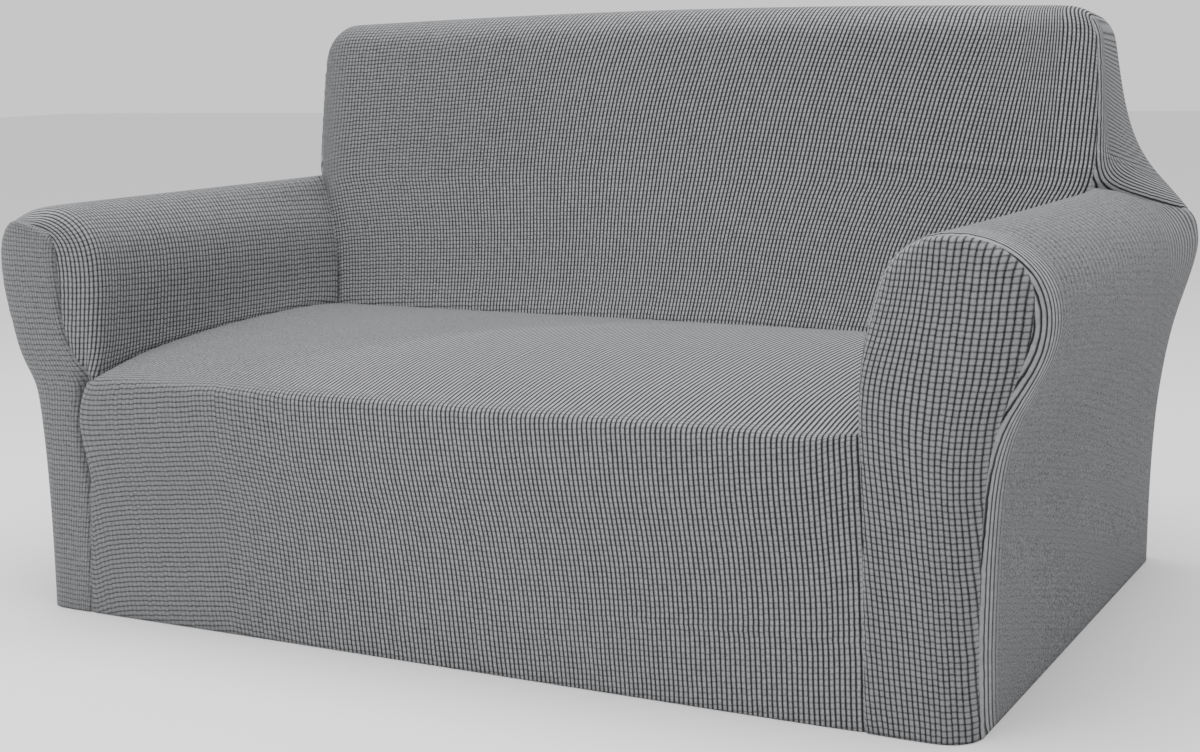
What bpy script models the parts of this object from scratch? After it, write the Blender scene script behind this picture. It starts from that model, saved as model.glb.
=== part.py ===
"""Fitted slipcover for a two-seat sofa, in the shape it takes when stretched over the sofa.

Metres, +Z up. X runs along the seat, Y from front to back, and the floor is Z = 0.
The origin lies on the floor under the middle of the cover's box.

The cover is drawn as one net of quads that follows the outside of the cloth. The net is cut
along the seams into seven panels, and each panel gets the cloth's thickness on its inner side.
Only the right half of every curve is described: the left half is its mirror image.
"""
import bpy
import bmesh
from collections import namedtuple
from math import copysign, cos, hypot, radians, sin, sqrt
from mathutils import Vector

# Cloth ------------------------------------------------------------------------------------
CLOTH = 0.0020              # thickness of the stretch cloth
SEAM_GAP = 0.0003           # two panels stop this far apart along their seam

# Overall sizes ----------------------------------------------------------------------------
DEPTH = 1.046               # front of the seat cushion to the rear face
CUSHION_PROUD = 0.024       # the seat cushion stands this far in front of the arm fronts
FRONT = CUSHION_PROUD - DEPTH / 2      # plane of the arm fronts
REAR = DEPTH / 2                       # plane of the rear face
SEAT_HALF = 0.648           # middle of the seat to an arm

# Seat -------------------------------------------------------------------------------------
SEAT_CORNER_HEIGHT = 0.384  # where the seat's front edge meets an arm front
SEAT_REAR_HEIGHT = 0.424    # crease between the seat and the back
SEAT_CREASE_DIP = 0.006     # the deck's side creases lie this far under its surface
SEAT_CROWN = 0.006          # rise of the deck between the arms
CUSHION_END_ROUND = 0.030   # length over which the cushion's ends round off to the seam

# Back -------------------------------------------------------------------------------------
BACK_EDGE_RADIUS = 0.022    # front edge along the sides of the back
BACK_TOP_RADIUS = 0.050     # front edge along the top of the back
BACK_CORNER_RADIUS = 0.055  # top corners, seen from the front
BACK_CROWN = 0.014          # rise of the top edge between its corners
BACK_SEAM_TURN = 45.0       # the side seam runs halfway round the front edge, degrees
BACK_SWELL = 0.006          # the filled back swells this far between its edges
REAR_TOP_RADIUS = 0.035     # rear edge along the top of the back

# Arm fronts -------------------------------------------------------------------------------
ARM_FRONT_CROWN = 0.007     # the padded arm front swells this far
FULL_CROWN_WIDTH = 0.100    # where it is narrower than this, it swells less

# How many faces each stretch gets ---------------------------------------------------------
COLUMNS = 26                # across the seat, the back and the rear face
APRON_ROWS = 7              # hem to the seat's front edge
EDGE_RINGS = 3              # round the front edge of an arm and of the seat
DECK_ROWS = 8               # front edge to the crease in front of the back
INNER_ROWS = 9              # seat crease to the top of an arm
OUTER_ROWS = APRON_ROWS + INNER_ROWS   # top of an arm to its outer hem
STRIP_ROWS = 9              # top of an arm to the top corner of the back
BACK_RINGS = 2              # round the front edge of the back
TOP_ROWS = 5                # front to rear along the top of the back
REAR_RINGS = 3              # round the rear edge
FACING_COLUMNS = 8          # across an arm front
SIDE_COLUMN_SHARE = 0.90    # how far the columns crowd towards the sides, 0 to 1
READ_STEPS = 40             # steps in which a curve is read from one of its points to the next
BEND_WEIGHT = 0.05          # a bend of one radian gets as many faces as this length
TURN_REACH = 0.02           # part of a step over which a curve's direction is taken
SIDE_FADE_ROWS = 2          # rows in which the back's side edge grows out of the arm
CREASE_POWER = 4            # how suddenly a crease's line turns up to its end
TOP_POWER = 6               # how suddenly the top's front edge narrows at its corners
LIFT_POWER = 2              # how suddenly the rows below the top take on its crown

# Arm outline, from the seat crease over the roll down to the outer hem. Each row gives a place
# on the section (x, height) at the arm front, beside the back's face and at the rear face,
# then the radius of the front edge, the turn of the facing seam round that edge (0 is on the
# front face, 90 on the side) and the radius of the rear edge.
ArmRow = namedtuple("ArmRow", "place front beside rear edge seam_turn rear_edge")
ARM = (
    ArmRow("seat crease", (SEAT_HALF, SEAT_CORNER_HEIGHT), (0.650, SEAT_REAR_HEIGHT),
           (0.650, SEAT_REAR_HEIGHT), 0.008, 45, 0.03),
    ArmRow("inner low", (0.647, 0.460), (0.668, 0.485), (0.668, 0.485), 0.014, 56, 0.03),
    ArmRow("inner side", (0.645, 0.540), (0.684, 0.541), (0.684, 0.541), 0.022, 55, 0.03),
    ArmRow("inner roll", (0.656, 0.604), (0.701, 0.581), (0.701, 0.581), 0.024, 60, 0.03),
    ArmRow("inner top", (0.692, 0.644), (0.722, 0.619), (0.722, 0.619), 0.024, 64, 0.03),
    ArmRow("top", (0.745, 0.658), (0.745, 0.657), (0.845, 0.606), 0.026, 66, 0.040),
    ArmRow("outer top", (0.803, 0.648), (0.802, 0.645), (0.857, 0.582), 0.034, 66, 0.040),
    ArmRow("outer roll", (0.850, 0.610), (0.850, 0.602), (0.862, 0.552), 0.050, 62, 0.040),
    ArmRow("roll edge", (0.866, 0.560), (0.863, 0.545), (0.855, 0.515), 0.066, 50, 0.040),
    ArmRow("under roll", (0.860, 0.502), (0.850, 0.488), (0.842, 0.472), 0.066, 47, 0.040),
    ArmRow("flare", (0.832, 0.446), (0.828, 0.427), (0.824, 0.415), 0.056, 52, 0.038),
    ArmRow("neck", (0.805, 0.392), (0.810, 0.362), (0.811, 0.350), 0.050, 64, 0.036),
    ArmRow("side high", (0.791, 0.310), (0.797, 0.274), (0.799, 0.260), 0.050, 70, 0.034),
    ArmRow("side low", (0.786, 0.160), (0.791, 0.137), (0.792, 0.130), 0.050, 72, 0.032),
    ArmRow("hem", (0.787, 0.0), (0.789, 0.0), (0.790, 0.0), 0.050, 74, 0.032),
)
TOP_OF_ARM = 5              # row of the table where the side of the back stands

# Side of the back, from the top of the arm to the start of the top corner. At the rear the
# stretched cloth leaves the arm's roll in a hollow curve.
SideRow = namedtuple("SideRow", "place beside rear rear_edge")
SIDE = (
    SideRow("arm", ARM[TOP_OF_ARM].beside, ARM[TOP_OF_ARM].rear, 0.040),
    SideRow("web low", (0.749, 0.694), (0.808, 0.648), 0.040),
    SideRow("web", (0.749, 0.736), (0.772, 0.686), 0.038),
    SideRow("web high", (0.748, 0.784), (0.746, 0.738), 0.036),
    SideRow("side", (0.746, 0.836), (0.729, 0.804), REAR_TOP_RADIUS),
    SideRow("corner start", (0.743, 0.884), (0.718, 0.874), REAR_TOP_RADIUS),
)
CORNER_MIDDLE = 45.0        # the side's cloth ends this far round the top corner, degrees
CORNER_TURNS = (22.5, CORNER_MIDDLE, 67.5)      # the last only steers the end of the curve

# Middle line of the seat cloth: distance behind the arm fronts and height.
SeatRow = namedtuple("SeatRow", "place behind height")
SEAT = (
    SeatRow("hem", 0.0, 0.0),
    SeatRow("skirt", 0.0, 0.140),
    SeatRow("under cushion", -0.009, 0.225),
    SeatRow("cushion low", -0.021, 0.285),
    SeatRow("cushion face", -0.024, 0.332),
    SeatRow("edge low", -0.020, 0.362),
    SeatRow("edge", -0.004, 0.386),
    SeatRow("edge high", 0.026, 0.401),
    SeatRow("deck front", 0.100, 0.416),
    SeatRow("deck", 0.300, 0.432),
    SeatRow("deck rear", 0.550, 0.434),
    SeatRow("crease", 0.663, SEAT_REAR_HEIGHT),
)
EDGE_LOW = 5                # rows of the table between which the front edge bends
EDGE_HIGH = 7

# Face of the back in the middle: height and distance behind the arm fronts.
FaceRow = namedtuple("FaceRow", "place height behind")
BACK_FACE = (
    FaceRow("crease", SEAT_REAR_HEIGHT, 0.663),
    FaceRow("low", 0.500, 0.697),
    FaceRow("arm height", 0.657, 0.744),
    FaceRow("upper", 0.800, 0.764),
    FaceRow("top", 0.960, 0.778),
)

# Panels in the order in which the net numbers them.
PANELS = (
    "seat_front",
    "inside_back",
    "outside_back",
    "arm_left",
    "arm_right",
    "arm_front_left",
    "arm_front_right",
)
SEAT_FRONT, INSIDE_BACK, OUTSIDE_BACK, ARM_LEFT, ARM_RIGHT, FACING_LEFT, FACING_RIGHT = range(7)
CLOTH_GREY = (0.165, 0.170, 0.175, 1.0)
CLOTH_ROUGHNESS = 0.92
SHARP_ANGLE = radians(50)
MERGE = 0.00001             # patches share their border points to within this distance
MOST_STRETCH = 1.5          # a sharp fold's inner point lies at most this many thicknesses in
LEAST_MITRE = 0.5           # keeps the trimmed corner of a panel near its place


def blend(a, b, share):
    """Value between a and b."""
    return a + (b - a) * share


def curve_point(points, place):
    """Point of a smooth curve through the points; place counts them from 0."""
    last = len(points) - 1
    start = min(max(int(place), 0), last - 1)
    share = place - start
    before = points[max(start - 1, 0)]
    a = points[start]
    b = points[start + 1]
    after = points[min(start + 2, last)]
    result = []
    for k in range(len(a)):
        enter = (b[k] - before[k]) / 2
        leave = (after[k] - a[k]) / 2
        bend = 3 * (b[k] - a[k]) - 2 * enter - leave
        ease = 2 * (a[k] - b[k]) + enter + leave
        result.append(a[k] + share * (enter + share * (bend + share * ease)))
    return result


def spread(points, first, last, count):
    """Places on the curve, count steps from first to last, closer where the curve bends."""
    fine = READ_STEPS * (last - first)
    places = [blend(first, last, k / fine) for k in range(fine + 1)]
    spots = [Vector(curve_point(points, place)) for place in places]
    travel = [0.0]
    for k in range(1, len(spots)):
        step = spots[k] - spots[k - 1]
        bend = 0.0
        if k > 1:
            bend = step.angle(spots[k - 1] - spots[k - 2], 0.0)
        travel.append(travel[-1] + step.length + BEND_WEIGHT * bend)
    result = []
    for n in range(count + 1):
        wanted = travel[-1] * n / count
        k = next(k for k, value in enumerate(travel) if value >= wanted - 1e-9)
        result.append(places[k])
    return result


def edge_depth(distance, radius):
    """How far a rounded edge falls back at a distance inside its outline."""
    if distance >= radius or radius <= 0:
        return 0.0
    return radius - sqrt(radius ** 2 - (radius - distance) ** 2)


def height_along(points, across):
    """Height of a line of (across, height) points that runs in one direction."""
    for a, b in zip(points, points[1:]):
        if across <= b[0]:
            return blend(a[1], b[1], max((across - a[0]) / (b[0] - a[0]), 0.0))
    return points[-1][1]


def with_corner(points):
    """The side's points with the arc of the top corner added."""
    x, z = points[-1]
    arc = []
    for turn in CORNER_TURNS:
        across = BACK_CORNER_RADIUS * (1 - cos(radians(turn)))
        arc.append((x - across, z + BACK_CORNER_RADIUS * sin(radians(turn))))
    return points + arc


# Places on the outlines where the net's lines run -------------------------------------------
ARM_FRONT_CURVE = [row.front for row in ARM]
ARM_PLACES = (spread(ARM_FRONT_CURVE, 0, TOP_OF_ARM, INNER_ROWS)
              + spread(ARM_FRONT_CURVE, TOP_OF_ARM, len(ARM) - 1, OUTER_ROWS)[1:])
SIDE_BESIDE = with_corner([row.beside for row in SIDE])
SIDE_REAR = with_corner([row.rear for row in SIDE])
SIDE_REAR_EDGES = [(row.rear_edge,) for row in SIDE] + [(REAR_TOP_RADIUS,)] * len(CORNER_TURNS)
SIDE_END = len(SIDE) + CORNER_TURNS.index(CORNER_MIDDLE)
SIDE_PLACES = spread(SIDE_BESIDE, 0, SIDE_END, STRIP_ROWS)
SEAT_CURVE = [(row.behind, row.height) for row in SEAT]
SEAT_PLACES = (spread(SEAT_CURVE, 0, EDGE_LOW, APRON_ROWS)
               + spread(SEAT_CURVE, EDGE_LOW, EDGE_HIGH, EDGE_RINGS)[1:]
               + spread(SEAT_CURVE, EDGE_HIGH, len(SEAT) - 1, DECK_ROWS)[1:])
DECK_START = APRON_ROWS + EDGE_RINGS
SEAT_LINE = [curve_point(SEAT_CURVE, place) for place in SEAT_PLACES]
DECK_LINE = SEAT_LINE[DECK_START:]

# Outline of the rear face, from the outer hem over the arm up to the top corner.
REAR_OUTLINE = [row.rear for row in ARM[:TOP_OF_ARM:-1]] + SIDE_REAR
ARM_REAR_ROWS = len(ARM) - 1 - TOP_OF_ARM


def column_share(column):
    """Share of the half width, -1 to 1, at which a column of the net runs."""
    even = 2 * column / COLUMNS - 1
    crowded = sin(radians(90) * even)
    return blend(even, crowded, SIDE_COLUMN_SHARE)


def left_of(curve, place):
    """In the curve's plane, the unit direction to the left of the way along it."""
    a = curve_point(curve, max(place - TURN_REACH, 0))
    b = curve_point(curve, min(place + TURN_REACH, len(curve) - 1))
    run = (b[0] - a[0], b[1] - a[1])
    length = hypot(*run)
    return (-run[1] / length, run[0] / length)


FACE_CURVE = [(row.height, row.behind) for row in BACK_FACE]
FACE_END = (len(FACE_CURVE) - 1) * READ_STEPS
FACE_LINE = [curve_point(FACE_CURVE, k / READ_STEPS) for k in range(FACE_END + 1)]


def back_face(height):
    """Y of the middle of the back's face at a height."""
    return FRONT + height_along(FACE_LINE, height)


# Arm ---------------------------------------------------------------------------------------
BESIDE_Y = back_face(ARM[TOP_OF_ARM].beside[1])


def arm_value(name, place):
    """Radius or seam turn of the arm table at a place between its rows."""
    values = [(getattr(row, name),) for row in ARM]
    return curve_point(values, place)[0]


def arm_section(station, place):
    """Point (x, height) of the arm's section at one of its three stations."""
    return curve_point([getattr(row, station) for row in ARM], place)


def arm_edge(row, ring):
    """Point on the front edge of the arm, ring 0 being the facing seam."""
    place = ARM_PLACES[row]
    x, z = arm_section("front", place)
    side = left_of(ARM_FRONT_CURVE, place)
    radius = arm_value("edge", place)
    turn = radians(blend(arm_value("seam_turn", place), 90, ring / EDGE_RINGS))
    inset = radius * (1 - sin(turn))
    y = FRONT + radius * (1 - cos(turn))
    if row == len(ARM_PLACES) - 1:
        side = (1.0, 0.0)
    if row == 0:
        side = (-1.0, 0.0)
    return Vector((x - side[0] * inset, y, z - side[1] * inset))


def deck_share(row):
    """Share of the deck's length, front to rear, at which a row of the net runs."""
    first = DECK_LINE[0][0]
    last = DECK_LINE[-1][0]
    return (DECK_LINE[row][0] - first) / (last - first)


def deck_side(row):
    """Point of the crease between deck and arm; row 0 is at the front edge."""
    if row == 0:
        return arm_edge(0, EDGE_RINGS)
    share = deck_share(row)
    y = FRONT + blend(arm_value("edge", 0), DECK_LINE[-1][0], share)
    dip = SEAT_CREASE_DIP * (1 - share ** CREASE_POWER)
    x = blend(ARM[0].front[0], ARM[0].beside[0], share)
    return Vector((x, y, height_along(DECK_LINE, y - FRONT) - dip))


def arm_inner(row, step):
    """Point of the arm between its front edge and the back's face."""
    if row == 0:
        return deck_side(step)
    x, z = arm_section("beside", ARM_PLACES[row])
    end = strip_point(0, 0)
    if row > INNER_ROWS:
        end = Vector((x, end.y, z))
    if row < INNER_ROWS:
        # The line on the back's face runs up to the foot of the back's side seam.
        rise = (row / INNER_ROWS) ** CREASE_POWER
        x += (end.x - ARM[TOP_OF_ARM].beside[0]) * rise
        end = Vector((x, back_face(z) + (end.y - BESIDE_Y) * rise, z))
    return arm_edge(row, EDGE_RINGS).lerp(end, deck_share(step))


def rear_side(place):
    """Way out of the sofa at a place of the rear outline."""
    if place == 0:
        return (1.0, 0.0)
    left = left_of(REAR_OUTLINE, place)
    return (-left[0], -left[1])


def rear_corner(x, z, side, radius, ring):
    """Point on a rear edge; ring 0 ends the side and the last ring lies on the rear face."""
    turn = radians(90 * (1 - ring / REAR_RINGS))
    inset = radius * (1 - sin(turn))
    y = REAR - radius * (1 - cos(turn))
    return Vector((x - side[0] * inset, y, z - side[1] * inset))


def arm_outer(row, step):
    """Point of the arm's outer side behind the line of the back's face."""
    if row == INNER_ROWS:
        return strip_point(0, step)
    place = ARM_PLACES[row]
    radius = arm_value("rear_edge", place)
    near = arm_section("beside", place)
    far = arm_section("rear", place)
    if step > BACK_RINGS + TOP_ROWS:
        side = rear_side(len(ARM) - 1 - place)
        return rear_corner(*far, side, radius, step - BACK_RINGS - TOP_ROWS)
    start = strip_point(0, 0).y
    y = strip_point(0, min(step, BACK_RINGS)).y
    if step > BACK_RINGS:
        y = blend(y, REAR - radius, (step - BACK_RINGS) / TOP_ROWS)
    share = (y - start) / (REAR - radius - start)
    return Vector((blend(near[0], far[0], share), y, blend(near[1], far[1], share)))


def arm_point(row, step):
    """Point of the arm cloth; steps run from the facing seam to the rear face."""
    if step <= EDGE_RINGS:
        return arm_edge(row, step)
    if step <= EDGE_RINGS + DECK_ROWS:
        return arm_inner(row, step - EDGE_RINGS)
    return arm_outer(row, step - EDGE_RINGS - DECK_ROWS)


# Side of the back ----------------------------------------------------------------------------
SIDE_REAR_STEPS = BACK_RINGS + TOP_ROWS + REAR_RINGS


def edge_run(near, far, side, far_side, radius, rear_radius, step):
    """Point of the cloth that runs from the back's front edge round its rear edge.

    near and far are the places (x, height) on the outlines beside the face and at the rear,
    side and far_side the ways out of the sofa there. Step 0 is halfway round the front edge.
    """
    if step > BACK_RINGS + TOP_ROWS:
        return rear_corner(*far, far_side, rear_radius, step - BACK_RINGS - TOP_ROWS)
    face = back_face(near[1])
    start = face + radius * (1 - cos(radians(BACK_SEAM_TURN)))
    end = REAR - rear_radius
    y = blend(face + radius, end, (step - BACK_RINGS) / TOP_ROWS)
    inset = 0.0
    if step < BACK_RINGS:
        turn = radians(blend(BACK_SEAM_TURN, 90, step / BACK_RINGS))
        y = face + radius * (1 - cos(turn))
        inset = radius * (1 - sin(turn))
    share = (y - start) / (end - start)
    x = blend(near[0], far[0], share) - side[0] * inset
    z = blend(near[1], far[1], share) - side[1] * inset
    return Vector((x, y, z))


def strip_point(row, step):
    """Point of the back's side; step 0 is the front seam, the last lies on the rear face."""
    place = SIDE_PLACES[row]
    near = curve_point(SIDE_BESIDE, place)
    far = curve_point(SIDE_REAR, place)
    left = left_of(SIDE_BESIDE, place)
    side = (-left[0], -left[1]) if row > 0 else (1.0, 0.0)
    far_side = rear_side(ARM_REAR_ROWS + place)
    rear_radius = curve_point(SIDE_REAR_EDGES, place)[0]
    return edge_run(near, far, side, far_side, BACK_EDGE_RADIUS, rear_radius, step)


# Seat and apron ------------------------------------------------------------------------------
def seat_side(row):
    """Right border of the seat cloth, from the hem up the seam and along the side crease."""
    if row <= APRON_ROWS:
        corner = arm_edge(0, 0)
        height = SEAT_LINE[row][1] * corner.z / SEAT_LINE[APRON_ROWS][1]
        return Vector((corner.x, corner.y, height))
    if row <= DECK_START:
        return arm_edge(0, row - APRON_ROWS)
    return deck_side(row - DECK_START)


def seat_point(row, column):
    """Point of the cloth that covers the seat and hangs down in front of it."""
    share = column_share(column)
    border = seat_side(row)
    inside = SEAT_HALF * (1 - abs(share))
    hold = edge_depth(inside, CUSHION_END_ROUND) / CUSHION_END_ROUND
    behind, height = SEAT_LINE[row]
    if row > DECK_START:
        along = (row - DECK_START) / DECK_ROWS
        height += SEAT_CROWN * (1 - share ** 2) * sin(radians(180) * along)
    y = blend(FRONT + behind, border.y, hold)
    z = blend(height, border.z, hold)
    return Vector((share * border.x, y, z))


# Inside of the back, its top and the rear face -------------------------------------------------
FACE_ROWS = INNER_ROWS + STRIP_ROWS
BACK_ROWS = FACE_ROWS + SIDE_REAR_STEPS


def top_outline(share, half):
    """Rise of the top's outline over its corner point, and the way out of the sofa there."""
    reach = BACK_CORNER_RADIUS * cos(radians(CORNER_MIDDLE))
    across = max(reach - half * (1 - abs(share)), 0.0)
    up = sqrt(BACK_CORNER_RADIUS ** 2 - across ** 2)
    rise = up - reach + BACK_CROWN * (1 - share ** 2)
    return rise, (copysign(across, share) / BACK_CORNER_RADIUS, up / BACK_CORNER_RADIUS)


def back_border(row):
    """Right border of the inside back: the arm, the side seam and the top's side seam."""
    if row <= INNER_ROWS:
        return arm_inner(row, DECK_ROWS)
    if row <= FACE_ROWS:
        return strip_point(row - INNER_ROWS, 0)
    return strip_point(STRIP_ROWS, row - FACE_ROWS)


def top_radius(share):
    """Radius of the top's front edge, smaller towards the corners."""
    return blend(BACK_TOP_RADIUS, BACK_EDGE_RADIUS, abs(share) ** TOP_POWER)


def top_point(step, column):
    """Point of the top; step 0 is halfway round its front edge, the last on the rear face."""
    share = column_share(column)
    near = curve_point(SIDE_BESIDE, SIDE_END)
    far = curve_point(SIDE_REAR, SIDE_END)
    rise, side = top_outline(share, near[0])
    far_rise, far_side = top_outline(share, far[0])
    near = (share * near[0], near[1] + rise)
    far = (share * far[0], far[1] + far_rise)
    return edge_run(near, far, side, far_side, top_radius(share), REAR_TOP_RADIUS, step)


def outline_distance(x, z, half, share):
    """How far a point of the face lies inside the back's outline, round its top corner."""
    reach = BACK_CORNER_RADIUS * cos(radians(CORNER_MIDDLE))
    top = curve_point(SIDE_BESIDE, SIDE_END)[1] + BACK_CORNER_RADIUS - reach
    from_side = half - abs(x)
    from_top = top + BACK_CROWN * (1 - share ** 2) - z
    if max(from_side, from_top) < BACK_CORNER_RADIUS:
        away = hypot(BACK_CORNER_RADIUS - from_side, BACK_CORNER_RADIUS - from_top)
        return max(BACK_CORNER_RADIUS - away, 0.0)
    return min(from_side, from_top)


def back_point(row, column):
    """Point of the inside back, which also covers the top."""
    share = column_share(column)
    border = back_border(row)
    if abs(share) == 1:
        return Vector((share * border.x, border.y, border.z))
    if row >= FACE_ROWS:
        return top_point(row - FACE_ROWS, column)
    climb = max(row - INNER_ROWS, 0) / STRIP_ROWS
    crest = top_point(0, column)
    corner = strip_point(STRIP_ROWS, 0)
    lift = climb ** LIFT_POWER
    x = share * border.x + lift * (crest.x - share * corner.x)
    z = border.z + lift * (crest.z - corner.z)
    seam_inset = BACK_EDGE_RADIUS * (1 - sin(radians(BACK_SEAM_TURN)))
    half = max(border.x + seam_inset, SIDE[-1].beside[0])
    fall = edge_depth(outline_distance(x, z, half, share), top_radius(share))
    fade = min(climb * STRIP_ROWS / SIDE_FADE_ROWS, 1)
    swell = BACK_SWELL * (1 - share ** 2) * sin(radians(180) * row / FACE_ROWS)
    return Vector((x, back_face(z) + fall * fade - swell, z))


REAR_ROWS = OUTER_ROWS + STRIP_ROWS


def rear_border(row):
    """Right border of the rear face, from the hem to the top corner."""
    if row <= OUTER_ROWS:
        return arm_point(len(ARM_PLACES) - 1 - row, EDGE_RINGS + DECK_ROWS + SIDE_REAR_STEPS)
    return strip_point(row - OUTER_ROWS, SIDE_REAR_STEPS)


def rear_point(row, column):
    """Point of the flat rear face."""
    share = column_share(column)
    border = rear_border(row)
    corner = rear_border(REAR_ROWS)
    crest = back_point(BACK_ROWS, column)
    lift = (max(row - OUTER_ROWS, 0) / STRIP_ROWS) ** LIFT_POWER
    x = share * border.x + lift * (crest.x - share * corner.x)
    return Vector((x, REAR, border.z + lift * (crest.z - corner.z)))


# Arm front -------------------------------------------------------------------------------------
def facing_fall(row, walked):
    """How far the arm's front edge falls back at a distance inside the facing seam."""
    place = ARM_PLACES[row]
    radius = arm_value("edge", place)
    inset = radius * (1 - sin(radians(arm_value("seam_turn", place))))
    return edge_depth(inset + walked, radius)


def facing_point(row, column):
    """Point of the panel on an arm's front, from its inner seam to its outer seam."""
    inner_row = max(row - APRON_ROWS, 0)
    outer_row = len(ARM_PLACES) - 1 - row
    inner = seat_side(row) if row <= APRON_ROWS else arm_edge(inner_row, 0)
    outer = arm_edge(outer_row, 0)
    share = (1 - cos(radians(180) * column / FACING_COLUMNS)) / 2
    point = inner.lerp(outer, share)
    if column in (0, FACING_COLUMNS):
        return point
    width = (outer - inner).length
    fall = facing_fall(outer_row, (1 - share) * width)
    if row > APRON_ROWS:
        fall = max(fall, facing_fall(inner_row, share * width))
    crown = ARM_FRONT_CROWN * min(width / FULL_CROWN_WIDTH, 1)
    crown *= sin(radians(180) * share) * sin(radians(180) * row / OUTER_ROWS) ** 2
    point.y = FRONT + fall - crown
    return point


# The net -----------------------------------------------------------------------------------------
def add_patch(net, panel, rows, columns, place, mirrored=False):
    """Add a grid of quads whose corners the function place(row, column) puts on the cloth."""
    made = bmesh.ops.create_grid(net, x_segments=columns, y_segments=rows, size=0.5)
    for vertex in made["verts"]:
        column = round((vertex.co.x + 0.5) * columns)
        row = round((vertex.co.y + 0.5) * rows)
        vertex.co = place(row, column)
        if mirrored:
            vertex.co.x = -vertex.co.x
    for face in {face for vertex in made["verts"] for face in vertex.link_faces}:
        face.material_index = panel


def build_net():
    """The outside of the whole cover, each face numbered by its panel."""
    net = bmesh.new()
    add_patch(net, SEAT_FRONT, DECK_START + DECK_ROWS, COLUMNS, seat_point)
    add_patch(net, INSIDE_BACK, BACK_ROWS, COLUMNS, back_point)
    add_patch(net, OUTSIDE_BACK, REAR_ROWS, COLUMNS, rear_point)
    sides = ((False, ARM_RIGHT, FACING_RIGHT), (True, ARM_LEFT, FACING_LEFT))
    front_steps = EDGE_RINGS + DECK_ROWS
    for mirrored, arm, facing in sides:
        add_patch(net, OUTSIDE_BACK, STRIP_ROWS, SIDE_REAR_STEPS, strip_point, mirrored)
        add_patch(net, arm, INNER_ROWS, front_steps, arm_point, mirrored)
        add_patch(net, arm, OUTER_ROWS, front_steps + SIDE_REAR_STEPS,
                  lambda row, step: arm_point(INNER_ROWS + row, step), mirrored)
        add_patch(net, facing, OUTER_ROWS, FACING_COLUMNS, facing_point, mirrored)
    bmesh.ops.remove_doubles(net, verts=net.verts, dist=MERGE)
    bmesh.ops.recalc_face_normals(net, faces=net.faces)
    rear = max(net.faces, key=lambda face: face.calc_center_median().y)
    if rear.normal.y < 0:
        bmesh.ops.reverse_faces(net, faces=net.faces)
    bmesh.ops.triangulate(net, faces=net.faces, quad_method="SHORT_EDGE")
    net.normal_update()
    return net


def store_inner_side(net):
    """Keep on each corner of the net its number and the way to the cloth's inner side."""
    inner = net.verts.layers.float_vector.new("inner")
    order = net.verts.layers.int.new("order")
    for vertex in net.verts:
        vertex[order] = vertex.index
        step = -vertex.normal * CLOTH * min(vertex.calc_shell_factor(), MOST_STRETCH)
        if vertex.co.z < MERGE:
            step.z = 0.0
        vertex[inner] = step


def trim_seams(panel):
    """Draw the panel's sewn borders back by half of the seam gap; the hem stays."""
    inner = panel.verts.layers.float_vector["inner"]
    shifts = {}
    for edge in panel.edges:
        if not edge.is_boundary or max(vertex.co.z for vertex in edge.verts) < MERGE:
            continue
        # The two rims of a seam stay parallel, because each moves square to its own wall.
        start, end = edge.verts
        inward = (start[inner] + end[inner]).cross(end.co - start.co).normalized()
        if inward.dot(edge.link_faces[0].calc_center_median() - start.co) < 0:
            inward = -inward
        for vertex in edge.verts:
            shifts.setdefault(vertex, []).append(inward)
    for vertex, ways in shifts.items():
        total = sum(ways, Vector())
        if len(ways) > 1:
            total /= max(1 + ways[0].dot(ways[1]), LEAST_MITRE)
        if vertex.co.z < MERGE:
            total.z = 0.0
        vertex.co += total * (SEAM_GAP / 2)


def split_rim(panel, inner_corners):
    """Split the rim's quads the same way on both sides of a seam, by the net's numbering."""
    order = panel.verts.layers.int["order"]
    for face in [face for face in panel.faces if len(face.verts) == 4]:
        low = min(corner[order] for corner in face.verts)
        outer_low = next(v for v in face.verts if v[order] == low and v not in inner_corners)
        inner_high = next(v for v in face.verts if v[order] != low and v in inner_corners)
        bmesh.utils.face_split(face, outer_low, inner_high)


def make_panel(net, number, material):
    """Cut one panel out of the net, give it the cloth's thickness and make it an object."""
    panel = net.copy()
    others = [face for face in panel.faces if face.material_index != number]
    bmesh.ops.delete(panel, geom=others, context="FACES")
    trim_seams(panel)
    inner = panel.verts.layers.float_vector["inner"]
    made = bmesh.ops.extrude_face_region(panel, geom=panel.faces[:], use_keep_orig=True)
    for item in made["geom"]:
        if isinstance(item, bmesh.types.BMVert):
            item.co += item[inner]
    split_rim(panel, {item for item in made["geom"] if isinstance(item, bmesh.types.BMVert)})
    bmesh.ops.recalc_face_normals(panel, faces=panel.faces)
    mesh = bpy.data.meshes.new(PANELS[number])
    for face in panel.faces:
        face.material_index = 0
    panel.to_mesh(mesh)
    panel.free()
    mesh.materials.append(material)
    mesh.shade_smooth()
    mesh.set_sharp_from_angle(angle=SHARP_ANGLE)
    cloth = bpy.data.objects.new(PANELS[number], mesh)
    bpy.context.scene.collection.objects.link(cloth)
    return cloth


def cloth_material(name):
    """Matt grey stretch cloth."""
    material = bpy.data.materials.new(name)
    material.use_nodes = True
    shader = material.node_tree.nodes["Principled BSDF"]
    shader.inputs["Base Color"].default_value = CLOTH_GREY
    shader.inputs["Roughness"].default_value = CLOTH_ROUGHNESS
    shader.inputs["Metallic"].default_value = 0.0
    material.diffuse_color = CLOTH_GREY
    return material


def main():
    """Clear the scene and build the cover."""
    for thing in list(bpy.data.objects):
        bpy.data.objects.remove(thing)
    net = build_net()
    store_inner_side(net)
    for number, name in enumerate(PANELS):
        make_panel(net, number, cloth_material(name + "_cloth"))
    net.free()


main()
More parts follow.
